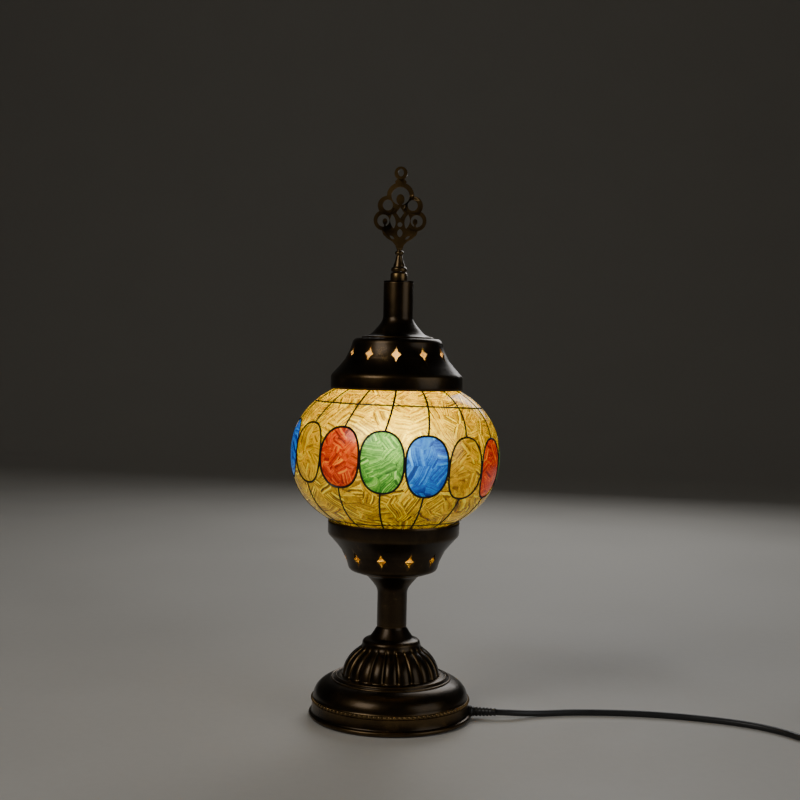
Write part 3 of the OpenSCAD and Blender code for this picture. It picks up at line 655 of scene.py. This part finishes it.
oval_shape = [
    (
        random.uniform(-0.02, 0.02), random.uniform(0, 6.28), random.uniform(-0.015, 0.015),
        random.uniform(0, 6.28)
    )
    for _ in range(OVALS)
]


def full(c):
    """A sine or cosine drawn out, so that an oval has fuller sides than an ellipse."""
    return math.copysign(abs(c) ** (2 / FULLNESS), c)


def ring_height(longitude):
    """The upper ring was laid by eye, so it leans a little."""
    a = math.radians(longitude)
    return RING_TOP + 1.3 * math.cos(a) - 1.5 * math.sin(a)


def oval_point(i, x, z, grow=0.0, depth=0.4):
    """A point of oval i, with x and z from -1 to 1 over the unit disc."""
    a = math.atan2(z, x)
    out = math.hypot(x, z)
    x, z = out * full(math.cos(a)), out * full(math.sin(a))
    w2, p2, w3, p3 = oval_shape[i]
    k = 1 + w2 * math.sin(2 * a + p2) + w3 * math.sin(3 * a + p3)
    along = (OVAL_W / 2 * k + grow) * x
    h = oval_rise(i) + (OVAL_H / 2 * k + grow) * z
    r = radius_at(h, depth)
    return on_globe(oval_longitude(i) + math.degrees(math.asin(along / r)), h, depth)


print("row of", OVALS, "ovals, widest radius", radius_at(0, 0))

# %% [markdown]
# ## Oval tiles
# Each oval is a cut piece of coloured glass, slightly domed by the fire at its edge. A flat grid
# is added, rounded into a disc and wrapped on the globe; Solidify then gives it its thickness.

# %% Wrap a grid on the globe
def wrapped(nx, ny, place, thickness=1.15):
    """A grid laid on the globe: place(u, v) gives each point, with u and v from -1 to 1."""
    deselect()
    bpy.ops.mesh.primitive_grid_add(x_subdivisions=nx, y_subdivisions=ny, size=2, location=(0, 0, 0))
    o = bpy.context.object
    for v in o.data.vertices:
        v.co = place(v.co.x, v.co.y)
    only(o)
    bpy.ops.object.mode_set(mode="EDIT")
    bpy.ops.mesh.select_all(action="SELECT")
    bpy.ops.mesh.normals_make_consistent(inside=False)
    bpy.ops.object.mode_set(mode="OBJECT")
    middle = o.data.polygons[len(o.data.polygons) // 2]
    out = Vector((middle.center.x, middle.center.y, 0))
    if middle.normal.dot(out) < 0:
        edit(o)
        bpy.ops.mesh.flip_normals()
        leave()
    wall = o.modifiers.new("wall", "SOLIDIFY")
    wall.thickness = thickness * MM
    wall.offset = -1
    bpy.ops.object.modifier_apply(modifier=wall.name)
    return o


def oval_tile(i):
    def place(u, v):
        x, z = u * math.sqrt(1 - v * v / 2), v * math.sqrt(1 - u * u / 2)
        rim = min(1.0, math.hypot(x, z)) ** 8
        return oval_point(i, x, z, 0.1, 0.42 + 0.35 * rim)
    return wrapped(16, 22, place)


COLOURS = {"green": (0, 4, 8), "blue": (1, 5, 9, 12), "amber": (2, 6, 10, 13), "red": (3, 7, 11, 14)}
tiles = {}
for colour, places in COLOURS.items():
    group = join([oval_tile(i) for i in places])
    smooth(group, 50)
    tiles[colour] = settle(group, "ovals_" + colour, "globe", ["tiles_" + colour])
    print(colour, "ovals:", triangles(group), "triangles")

# %% [markdown]
# ## The patterned ground
# Between the ovals lie panels of pale crackled glass, cut along the lines that rise and fall
# from each oval. Each panel is a grid whose lower or upper edge follows the ovals' outline.

# %% Ground panels
TOP_DRIFT, LOW_DRIFT, DRIFT_FROM = 0.187, -0.045, 15.6
RIM_H = 50.6


def outline_height(longitude, side):
    """Height of the row of ovals' upper (side 1) or lower (side -1) edge at a longitude."""
    step = 360 / OVALS
    i = round((longitude - FIRST) / step)
    off = radius_at(0, 0.4) * math.sin(math.radians(longitude - FIRST - i * step))
    off = off * radius_at(15, 0.4) / radius_at(0, 0.4)
    share = min(1.0, abs(off) / (OVAL_W / 2 + 0.6))
    return oval_rise(i) + side * (OVAL_H / 2 + 0.4) * (1 - share ** FULLNESS) ** (1 / FULLNESS)


def drift(h):
    """Lines swing aside as they rise, and a little as they fall, in degrees."""
    return TOP_DRIFT * max(0.0, h - DRIFT_FROM) if h > 0 else -LOW_DRIFT * h


def edge_height(edge, longitude):
    """Height at which a drifting line that starts at this longitude meets the edge."""
    h = edge(longitude)
    for _ in range(4):
        h = edge(longitude + drift(h))
    return h


def panel(i, low, high, nx, ny):
    a0, a1 = oval_longitude(i), oval_longitude(i + 1)

    def place(u, v):
        a = a0 + (a1 - a0) * (u + 1) / 2
        h0, h1 = edge_height(low, a), edge_height(high, a)
        h = h0 + (h1 - h0) * (v + 1) / 2
        return on_globe(a + drift(h), h, 0.5)
    return wrapped(nx, ny, place)


def ground(name, low, high, nx, ny, node):
    o = join([panel(i, low, high, nx, ny) for i in range(OVALS)])
    smooth(o, 50)
    settle(o, name, "globe", [node])
    print(name, triangles(o), "triangles")
    return o


upper = ground("ground_upper", lambda a: outline_height(a, 1), ring_height, 28, 8, "field_upper")
lower = ground("ground_lower", lambda a: RING_LOW, lambda a: outline_height(a, -1), 28, 12, "field_lower")
crown = ground("ground_crown", ring_height, lambda a: RIM_H, 10, 7, "field_crown")
foot = ground("ground_foot", lambda a: -RIM_H, lambda a: RING_LOW, 10, 3, "field_foot")

# %% [markdown]
# ## Lead lines
# A raised black line runs round every oval, up and down from it, and in two rings. They are
# piped on by hand, so each is a half-buried round bead: a curve with a bevel, made a mesh.

# %% Piped lines
LINE_R, LINE_DEPTH = 0.86, 0.9
OVAL_LINE_R, OVAL_LINE_DEPTH = 0.96, 1.02


def piped(points, closed=False, r=LINE_R):
    data = bpy.data.curves.new("line", "CURVE")
    data.dimensions = "3D"
    data.bevel_depth = r * MM
    data.bevel_resolution = 1
    data.use_fill_caps = not closed
    line = data.splines.new("POLY")
    line.points.add(len(points) - 1)
    for p, q in zip(line.points, points):
        p.co = (*q, 1)
    line.use_cyclic_u = closed
    line.use_smooth = True
    o = bpy.data.objects.new("line", data)
    bpy.context.scene.collection.objects.link(o)
    only(o)
    bpy.ops.object.convert(target="MESH")
    return bpy.context.object


lines = []
for i in range(OVALS):
    loop = [oval_point(
        i, math.cos(a), math.sin(a), 0.6, OVAL_LINE_DEPTH
    ) for a in [2 * math.pi * k / 52 for k in range(52)]]
    lines.append(piped(loop, True, OVAL_LINE_R + 0.04 * math.sin(i * 2.4)))
    top, low = oval_rise(i) + OVAL_H / 2 + 0.6, oval_rise(i) - OVAL_H / 2 - 0.6
    sway = random.uniform(-0.5, 0.5)
    rise = []
    for k in range(15):
        h = top + (RIM_H - top) * k / 14
        rise.append(on_globe(
            oval_longitude(i) + drift(h) + sway * math.sin(math.pi * k / 14), h, LINE_DEPTH
        ))
    lines.append(piped(rise))
    fall = []
    for k in range(17):
        h = low + (-RIM_H - low) * k / 16
        fall.append(on_globe(
            oval_longitude(i) + drift(h) - sway * math.sin(math.pi * k / 16), h, LINE_DEPTH
        ))
    lines.append(piped(fall))
for height in (ring_height, lambda a: RING_LOW):
    turn = [a * 2.5 for a in range(144)]
    lines.append(piped(
        [on_globe(a, height(a) + 0.2 * math.sin(math.radians(a * 3)), LINE_DEPTH) for a in turn],
        True
    ))
lead = join(lines)
outward(lead)
smooth(lead, 60)
settle(lead, "lead_lines", "globe", ["came_lines"])
print("lead lines:", triangles(lead), "triangles")

# %% [markdown]
# ## The strain relief
# Where the cord leaves the base it passes a soft tapered sleeve with ring grooves, so that it
# bends in a wide curve. It is turned like the rest, then laid on its side at the cord's exit.

# %% Strain relief
relief_profile = [
    (2.45, 51), (3.3, 51), (3.3, 58.4), (4.2, 58.5), (4.2, 60.3), (4.3, 60.6), (4.3, 62.2),
    (3.9, 62.6)
]
for k in range(6):
    z = 63.4 + k * 2.7
    r = 3.6 - k * 0.11
    relief_profile += [(r, z), (r, z + 1.2), (r - 0.5, z + 1.5), (r - 0.5, z + 2.2)]
relief_profile += [(2.95, 80.2), (2.8, 81.2), (2.45, 81.4)]
relief = lathe(relief_profile, 32, closed=True)
relief.matrix_world = (
    Matrix.Translation((0, 0, 5 * MM)) @ Matrix.Rotation(
        math.radians(-3), 4, "Z"
    ) @ Matrix.Rotation(math.pi / 2, 4, "Y")
)
smooth(relief, 40)
settle(relief, "strain_relief", "root", ["cord_relief"])
print("strain relief:", triangles(relief), "triangles")

# %% [markdown]
# ## Finishes: a small kit
# Every finish is built from nodes. These helpers add a node, set its values and link it, so a
# recipe reads as a list of what the surface does.

# %% Node helpers
def material(name):
    m = bpy.data.materials.new(name)
    m.use_nodes = True
    tree = m.node_tree
    shader = next(n for n in tree.nodes if n.type == "BSDF_PRINCIPLED")
    return m, tree, shader


def add(tree, kind, values=None, **settings):
    n = tree.nodes.new(kind)
    for k, v in settings.items():
        setattr(n, k, v)
    for k, v in (values or {}).items():
        n.inputs[k].default_value = v
    return n


def link(tree, a, b):
    tree.links.new(a, b)


def mathnode(tree, operation, a, b=None, clamp=False):
    n = add(tree, "ShaderNodeMath", operation=operation, use_clamp=clamp)
    for slot_no, value in enumerate((a, b)):
        if value is None:
            continue
        if isinstance(value, (int, float)):
            n.inputs[slot_no].default_value = value
        else:
            link(tree, value, n.inputs[slot_no])
    return n.outputs[0]


def ramp(tree, fac, stops):
    n = add(tree, "ShaderNodeValToRGB")
    while len(n.color_ramp.elements) < len(stops):
        n.color_ramp.elements.new(0.5)
    for e, (at, colour) in zip(n.color_ramp.elements, stops):
        e.position = at
        e.color = (*colour, 1)
    link(tree, fac, n.inputs["Fac"])
    return n.outputs["Color"]


def noise(tree, vector, scale, detail=3, rough=0.5, dims="3D"):
    n = add(
        tree, "ShaderNodeTexNoise", {"Scale": scale, "Detail": detail, "Roughness": rough},
        noise_dimensions=dims
    )
    link(tree, vector, n.inputs["W" if dims == "1D" else "Vector"])
    return n.outputs["Fac"]


def spread(tree, fac, low, high):
    n = add(tree, "ShaderNodeMapRange", {"From Min": 0.3, "From Max": 0.7, "To Min": low, "To Max": high})
    link(tree, fac, n.inputs["Value"])
    return n.outputs["Result"]


def object_place(tree):
    return add(tree, "ShaderNodeTexCoord").outputs["Object"]


def bump(tree, shader, height, depth_mm, strength=1.0):
    n = add(tree, "ShaderNodeBump", {"Strength": strength, "Distance": depth_mm * MM})
    link(tree, height, n.inputs["Height"])
    link(tree, n.outputs["Normal"], shader.inputs["Normal"])


print("node kit ready")

# %% [markdown]
# ## Antique bronze
# The metal is brass darkened by a chemical patina, then lacquered. It stays nearly black-brown,
# with warm gold where edges were rubbed back. An attribute stores how sharp each edge is.

# %% Edge wear
def store_wear(o):
    """Stores, for each point, how convex its sharpest edge is, as the attribute wear."""
    bm = bmesh.new()
    bm.from_mesh(o.data)
    wear = []
    for v in bm.verts:
        sharp = [e.calc_face_angle(0) for e in v.link_edges if len(e.link_faces) == 2 and e.is_convex]
        wear.append(min(1.0, max(sharp, default=0.0) / 0.6))
    bm.free()
    a = o.data.attributes.new("wear", "FLOAT", "POINT")
    a.data.foreach_set("value", wear)


def bronze(name, dark, warm, gold, rough=(0.26, 0.42), spun=1.0):
    m, t, s = material(name)
    place = object_place(t)
    patch = noise(t, place, 55, 5, 0.6)
    speck = noise(t, place, 900, 2, 0.6)
    both = mathnode(t, "ADD", mathnode(t, "MULTIPLY", patch, 0.75), mathnode(t, "MULTIPLY", speck, 0.25))
    patina = ramp(t, both, [(0.32, dark), (0.6, warm), (0.78, gold)])
    wear = add(t, "ShaderNodeAttribute", attribute_name="wear").outputs["Fac"]
    rubbed = mathnode(t, "MULTIPLY", wear, spread(t, patch, 0.25, 0.8), clamp=True)
    mix = add(t, "ShaderNodeMix", data_type="RGBA")
    link(t, rubbed, mix.inputs["Factor"])
    link(t, patina, mix.inputs["A"])
    mix.inputs["B"].default_value = (*gold, 1)
    link(t, mix.outputs["Result"], s.inputs["Base Color"])
    s.inputs["Metallic"].default_value = 1.0
    link(t, spread(t, both, rough[0], rough[1]), s.inputs["Roughness"])
    s.inputs["Coat Weight"].default_value = 0.25
    s.inputs["Coat Roughness"].default_value = 0.2
    split = add(t, "ShaderNodeSeparateXYZ")
    link(t, place, split.inputs[0])
    x, y, z = split.outputs
    r = mathnode(
        t, "SQRT", mathnode(t, "ADD", mathnode(t, "MULTIPLY", x, x), mathnode(t, "MULTIPLY", y, y))
    )
    turned = add(t, "ShaderNodeCombineXYZ")
    link(t, r, turned.inputs[0])
    link(t, z, turned.inputs[1])
    rings = noise(t, turned.outputs[0], 1400, 2, 0.6)
    height = mathnode(
        t, "ADD", mathnode(t, "MULTIPLY", rings, 0.6 * spun), mathnode(t, "MULTIPLY", speck, 0.4)
    )
    bump(t, s, height, 0.02, 0.6)
    return m


antique_bronze = bronze("antique_bronze", (0.013, 0.009, 0.005), (0.034, 0.021, 0.010), (0.20, 0.12, 0.04))
antique_brass = bronze(
    "antique_brass", (0.024, 0.016, 0.008), (0.065, 0.04, 0.016), (0.34, 0.21, 0.07), (0.24, 0.38)
)
cast_brass = bronze(
    "cast_brass", (0.022, 0.014, 0.007), (0.06, 0.036, 0.014), (0.30, 0.18, 0.06), (0.3, 0.45), 0.2
)
for o in (
    base_shell, bead_band, dome, lower_bowl, cap_bowl, lower_stem, cap_stem, ferrule, collar,
    openwork
):
    store_wear(o)
    o.data.materials.clear()
for o in (base_shell, dome, lower_bowl, cap_bowl, lower_stem, cap_stem):
    o.data.materials.append(antique_bronze)
for o in (bead_band, ferrule, collar):
    o.data.materials.append(antique_brass)
openwork.data.materials.append(cast_brass)
print("bronze on", 10, "pieces")

# %% [markdown]
# ## Raw metal inside the galleries
# The bowls are only darkened outside. Inside they stay raw and pale, which throws the bulb's
# light out through the diamonds. Faces that look towards the axis get this second finish.

# %% Raw inside
raw_inside, t, s = material("raw_brass_inside")
place = object_place(t)
dull = noise(t, place, 120, 4, 0.6)
link(t, ramp(t, dull, [(0.3, (0.55, 0.38, 0.14)), (0.7, (0.85, 0.62, 0.28))]), s.inputs["Base Color"])
s.inputs["Metallic"].default_value = 0.55
link(t, spread(t, dull, 0.45, 0.65), s.inputs["Roughness"])
bump(t, s, dull, 0.03)
for bowl in (lower_bowl, cap_bowl):
    bowl.data.materials.append(raw_inside)
    for p in bowl.data.polygons:
        flat = Vector((p.center.x, p.center.y, 0))
        if flat.length > 0.008 and p.normal.dot(flat.normalized()) < -0.2:
            p.material_index = 1
print("raw faces:", sum(p.material_index for p in lower_bowl.data.polygons))

# %% [markdown]
# ## Stained glass
# The tiles are hand-rolled glass with frost-flower crackle: feathery streaks that run one way in
# each small crystal. A Voronoi cell gives each crystal its own direction; a one-way noise along
# that direction draws the streaks. The lit bulb inside is painted into the glass as its own glow:
# painted light that is stronger near the bulb, with a painted hot spot where the glass is seen
# face on, standing in for the bulb seen through it.
# The glass also lets a little of the bulb's own light through, blurred.

# %% Crackle glass recipe
BULB_Z = 229.5
# Painted light: these numbers shape the glass's painted glow round the bulb and its painted face-on hot
# spot.
NEAREST, FARTHEST = 0.05, 0.098
PAINTED_GLOW_FALL, FACE_FALL = 1.6, 8.0
DIM_GLOW, PALE_SHARE = 0.35, 2.2


def stained(
    name, stops, glow, crystal=85, streak=620, clear=0.28, blur=0.24, near=(1.0, 0.72, 0.24),
    reach=0.9, hot=6.0
):
    m, t, s = material(name)
    place = object_place(t)
    wobble = add(t, "ShaderNodeTexNoise", {"Scale": 60.0, "Detail": 2.0})
    link(t, place, wobble.inputs["Vector"])
    shift = add(t, "ShaderNodeVectorMath", operation="MULTIPLY_ADD")
    link(t, wobble.outputs["Color"], shift.inputs[0])
    shift.inputs[1].default_value = (0.004, 0.004, 0.004)
    link(t, place, shift.inputs[2])
    cell = add(t, "ShaderNodeTexVoronoi", {"Scale": float(crystal), "Randomness": 1.0})
    link(t, shift.outputs[0], cell.inputs["Vector"])
    centred = add(t, "ShaderNodeVectorMath", operation="SUBTRACT")
    link(t, cell.outputs["Color"], centred.inputs[0])
    centred.inputs[1].default_value = (0.5, 0.5, 0.5)
    direction = add(t, "ShaderNodeVectorMath", operation="NORMALIZE")
    link(t, centred.outputs[0], direction.inputs[0])
    along = add(t, "ShaderNodeVectorMath", operation="DOT_PRODUCT")
    link(t, direction.outputs[0], along.inputs[0])
    link(t, shift.outputs[0], along.inputs[1])
    streaks = noise(t, along.outputs["Value"], float(streak), 3, 0.65, "1D")
    cloud = noise(t, shift.outputs[0], 110, 5, 0.7)
    grain = noise(t, place, 600, 3, 0.6)
    body = mathnode(t, "ADD", mathnode(t, "MULTIPLY", streaks, 0.62),
                    mathnode(
                        t, "ADD", mathnode(t, "MULTIPLY", cloud, 0.24),
                        mathnode(t, "MULTIPLY", grain, 0.14)
                    ))
    colour = ramp(t, body, stops)
    link(t, colour, s.inputs["Base Color"])
    # Painted light: the glass glows more the nearer it is to the bulb, though it is no lamp.
    gap = add(t, "ShaderNodeVectorMath", operation="DISTANCE")
    link(t, place, gap.inputs[0])
    gap.inputs[1].default_value = (0, 0, BULB_Z * MM)
    close = add(
        t, "ShaderNodeMapRange", {"From Min": NEAREST, "From Max": FARTHEST, "To Min": 1.0, "To Max": 0.0}
    )
    link(t, gap.outputs["Value"], close.inputs["Value"])
    painted_bulb_glow = mathnode(t, "POWER", close.outputs["Result"], PAINTED_GLOW_FALL)
    # Painted highlight: a hot spot where the glass is seen face on, standing in for the bulb seen through
    # it.
    edge_on = add(t, "ShaderNodeLayerWeight", {"Blend": 0.5}).outputs["Facing"]
    painted_face_on_spot = mathnode(t, "POWER", mathnode(t, "SUBTRACT", 1.0, edge_on), FACE_FALL)
    through = mathnode(t, "MULTIPLY", painted_bulb_glow, painted_face_on_spot)
    # Painted light: a dim glow everywhere, more near the bulb, most in the painted hot spot.
    lit = mathnode(t, "ADD", DIM_GLOW, mathnode(t, "MULTIPLY", painted_bulb_glow, reach))
    lit = mathnode(t, "ADD", lit, mathnode(t, "MULTIPLY", through, hot))
    depth = spread(t, body, 0.4, 1.6)
    link(
        t, mathnode(t, "MULTIPLY", mathnode(t, "MULTIPLY", lit, depth), glow),
        s.inputs["Emission Strength"]
    )
    # Painted highlight: in the hot spot the glow's colour turns towards the pale colour near.
    pale = add(t, "ShaderNodeMix", data_type="RGBA")
    link(t, mathnode(t, "MULTIPLY", through, PALE_SHARE, clamp=True), pale.inputs["Factor"])
    link(t, colour, pale.inputs["A"])
    pale.inputs["B"].default_value = (*near, 1)
    link(t, pale.outputs["Result"], s.inputs["Emission Color"])
    s.inputs["Transmission Weight"].default_value = clear
    s.inputs["Roughness"].default_value = blur
    s.inputs["IOR"].default_value = 1.45
    s.inputs["Coat Weight"].default_value = 0.35
    s.inputs["Coat Roughness"].default_value = 0.08
    bump(t, s, body, 0.35, 0.6)
    return m


crackle = stained("crackle_amber", [
    (
        0.36, (0.13, 0.062, 0.0003)
    ), (0.46, (0.42, 0.23, 0.0006)), (0.54, (0.84, 0.54, 0.002)), (0.62, (1.0, 0.84, 0.04))], 0.62,
    near=(1.0, 0.74, 0.10), hot=26.0)
glass_green = stained("glass_green", [
    (
        0.34, (0.003, 0.10, 0.004)
    ), (
        0.46, (0.03, 0.32, 0.012)
    ), (0.56, (0.22, 0.62, 0.05)), (0.65, (0.60, 0.95, 0.20))], 0.6, 100, 480, near=(0.75, 1.0, 0.35))
glass_blue = stained("glass_blue", [
    (
        0.34, (0.001, 0.02, 0.26)
    ), (0.46, (0.002, 0.09, 0.55)), (0.57, (0.02, 0.32, 0.85)), (0.68, (0.16, 0.65, 1.0))], 0.65, 75, 360,
    near=(0.25, 0.65, 1.0))
glass_amber = stained("glass_gold", [
    (
        0.36, (0.24, 0.11, 0.0003)
    ), (
        0.46, (0.62, 0.34, 0.0005)
    ), (0.54, (0.95, 0.60, 0.001)), (0.64, (1.0, 0.84, 0.02))], 0.55, 120, 460)
glass_red = stained("glass_red", [
    (
        0.34, (0.24, 0.004, 0.001)
    ), (0.46, (0.60, 0.028, 0.002)), (0.56, (0.90, 0.11, 0.004)), (0.66, (1.0, 0.42, 0.01))], 0.6, 130, 400,
    near=(1.0, 0.35, 0.03))
for o, m in ((
    tiles["green"], glass_green
), (tiles["blue"], glass_blue), (tiles["amber"], glass_amber), (tiles["red"], glass_red),
             (upper, crackle), (lower, crackle), (crown, crackle), (foot, crackle)):
    o.data.materials.clear()
    o.data.materials.append(m)
print("glass finishes:", 5)

# %% [markdown]
# ## Plain finishes for the working parts
# The other parts are felt, steel, iron, rubber, ceramic and plastic. One recipe covers them: a
# slow colour change, a finer one for the grain, and a bump at the scale of the real surface.

# %% Plain finishes
def finish(name, colour, metallic=0.0, rough=(0.4, 0.55), scale=300, depth_mm=0.03, change=0.25, coat=0.0):
    m, t, s = material(name)
    place = object_place(t)
    slow = noise(t, place, scale / 8, 3)
    fine = noise(t, place, scale * 3, 3, 0.6)
    both = mathnode(t, "ADD", mathnode(t, "MULTIPLY", slow, 0.5), mathnode(t, "MULTIPLY", fine, 0.5))
    low = tuple(c * (1 - change) for c in colour)
    high = tuple(min(1.0, c * (1 + change)) for c in colour)
    link(t, ramp(t, both, [(0.35, low), (0.65, high)]), s.inputs["Base Color"])
    s.inputs["Metallic"].default_value = metallic
    link(t, spread(t, slow, rough[0], rough[1]), s.inputs["Roughness"])
    s.inputs["Coat Weight"].default_value = coat
    bump(t, s, fine, depth_mm)
    return m


def clear_glass(name, tint):
    m, t, s = material(name)
    place = object_place(t)
    ripple = noise(t, place, 90, 3)
    link(t, ramp(t, ripple, [(0.3, tint), (0.7, (1, 1, 1))]), s.inputs["Base Color"])
    s.inputs["Transmission Weight"].default_value = 1.0
    s.inputs["Roughness"].default_value = 0.04
    s.inputs["IOR"].default_value = 1.45
    bump(t, s, ripple, 0.05, 0.5)
    return m


def lit_bulb(name, colour, strength):
    m, t, s = material(name)
    place = object_place(t)
    haze = noise(t, place, 160, 3)
    link(t, ramp(t, haze, [(0.3, colour), (0.7, (1, 0.80, 0.48))]), s.inputs["Emission Color"])
    link(t, spread(t, haze, strength * 0.9, strength * 1.1), s.inputs["Emission Strength"])
    s.inputs["Base Color"].default_value = (0.95, 0.93, 0.86, 1)
    s.inputs["Roughness"].default_value = 0.35
    return m


black_cable = finish(
    "cord_jacket", (0.018, 0.018, 0.019), rough=(0.38, 0.5), scale=500, depth_mm=0.02, coat=0.1
)
finishes = {
    "felt": finish(
        "green_black_felt", (0.03, 0.035, 0.03), rough=(0.9, 1.0), scale=900, depth_mm=0.15,
        change=0.5
    ),
    "steel": finish("zinc_steel", (0.55, 0.56, 0.57), 1.0, (0.25, 0.4), 250, 0.01, 0.12),
    "iron": finish("cast_iron", (0.06, 0.058, 0.055), 0.8, (0.55, 0.75), 400, 0.12, 0.3),
    "brass": finish("turned_brass", (0.62, 0.42, 0.16), 1.0, (0.25, 0.38), 300, 0.01, 0.15),
    "antique_bronze": antique_bronze,
    "antique_brass": antique_brass,
    "seal_rubber": finish("seal_rubber", (0.02, 0.02, 0.02), rough=(0.6, 0.75), scale=500, depth_mm=0.03),
    "holder_plastic": finish(
        "holder_plastic", (0.03, 0.028, 0.026), rough=(0.35, 0.5), scale=300, depth_mm=0.01,
        coat=0.2
    ),
    "holder_ceramic": finish(
        "holder_ceramic", (0.82, 0.80, 0.75), rough=(0.2, 0.35), scale=200, depth_mm=0.01,
        change=0.06, coat=0.3
    ),
    "lead_insulation": finish(
        "lead_insulation", (0.75, 0.74, 0.70), rough=(0.4, 0.5), scale=300, depth_mm=0.01,
        change=0.08
    ),
    "globe_glass": clear_glass("blown_glass", (1.0, 0.97, 0.90)),
    "lead_line": finish(
        "lead_paste", (0.012, 0.010, 0.009), rough=(0.35, 0.6), scale=500, depth_mm=0.06,
        change=0.4, coat=0.15
    ),
    "bulb_glass": lit_bulb("lit_bulb", (1.0, 0.62, 0.24), 9.0),
    "bulb_metal": finish("bulb_cap_metal", (0.60, 0.58, 0.52), 1.0, (0.25, 0.4), 300, 0.02, 0.12),
    "filament": lit_bulb("lit_filament", (1.0, 0.7, 0.3), 20.0),
    "cord_pvc": black_cable,
    "plug_plastic": finish(
        "plug_plastic", (0.022, 0.022, 0.023), rough=(0.4, 0.55), scale=400, depth_mm=0.03, coat=0.1
    ),
    "rocker_plastic": finish(
        "rocker_plastic", (0.03, 0.03, 0.031), rough=(0.3, 0.42), scale=300, depth_mm=0.01, coat=0.3
    ),
    "tie_strap": finish(
        "tie_strap", (0.05, 0.05, 0.055), rough=(0.6, 0.8), scale=600, depth_mm=0.08, change=0.4
    ),
}
slot_of = {p["node"]: p["material_slot"] for p in frame["record"]["subparts"]}
for name, o in nodes.items():
    o.data.materials.clear()
    o.data.materials.append(finishes.get(slot_of.get(name), antique_bronze))
lead.data.materials.clear()
lead.data.materials.append(finishes["lead_line"])
relief.data.materials.clear()
relief.data.materials.append(black_cable)
mains_cord.data.materials.clear()
mains_cord.data.materials.append(black_cable)
print("finishes given to", len(nodes), "working parts")

# %% [markdown]
# ## The set
# A plain pale floor and soft light from large panels show the metal's curves without hard
# glare. They are kept low, so the lit globe still carries the picture.

# %% Floor and light
deselect()
bpy.ops.mesh.primitive_plane_add(size=8, location=(0, 0, 0))
floor = bpy.context.object
floor.name = "floor"
for e in floor.data.edges:
    e.select = all(floor.data.vertices[v].co.y > 3.9 for v in e.vertices)
bpy.ops.object.mode_set(mode="EDIT")
bpy.ops.mesh.select_mode(type="EDGE")
bpy.ops.mesh.extrude_region_move(TRANSFORM_OT_translate={"value": (0, 0, 4)})
bpy.ops.object.mode_set(mode="OBJECT")
for e in floor.data.edges:
    ends = [floor.data.vertices[v].co for v in e.vertices]
    e.select = all(c.y > 3.9 and c.z < 0.1 for c in ends)
bpy.ops.object.mode_set(mode="EDIT")
bpy.ops.mesh.bevel(offset=2.0, segments=24)
bpy.ops.object.mode_set(mode="OBJECT")
smooth(floor, 40)
floor.data.materials.append(finish(
    "pale_floor", (0.62, 0.60, 0.56), rough=(0.55, 0.7), scale=40, depth_mm=0.02, change=0.02
))
world = bpy.data.worlds.new("soft_room")
bpy.context.scene.world = world
world.use_nodes = True
world.node_tree.nodes["Background"].inputs["Color"].default_value = (0.80, 0.79, 0.77, 1)
world.node_tree.nodes["Background"].inputs["Strength"].default_value = 0.22


def panel_light(name, place, aim, size, power, colour=(1, 1, 1)):
    data = bpy.data.lights.new(name, "AREA")
    data.size = size
    data.energy = power
    data.color = colour
    o = bpy.data.objects.new(name, data)
    bpy.context.scene.collection.objects.link(o)
    o.location = place
    o.rotation_euler = (Vector(aim) - Vector(place)).to_track_quat("-Z", "Y").to_euler()
    return o


panel_light("key", (-0.9, -0.9, 1.1), (0, 0, 0.2), 0.7, 6, (1, 0.97, 0.92))
panel_light("fill", (1.1, -0.7, 0.6), (0, 0, 0.2), 0.9, 2.5, (0.95, 0.97, 1))
panel_light("back", (0.3, 1.2, 0.9), (0, 0, 0.25), 0.8, 5)
print("lights:", 3)
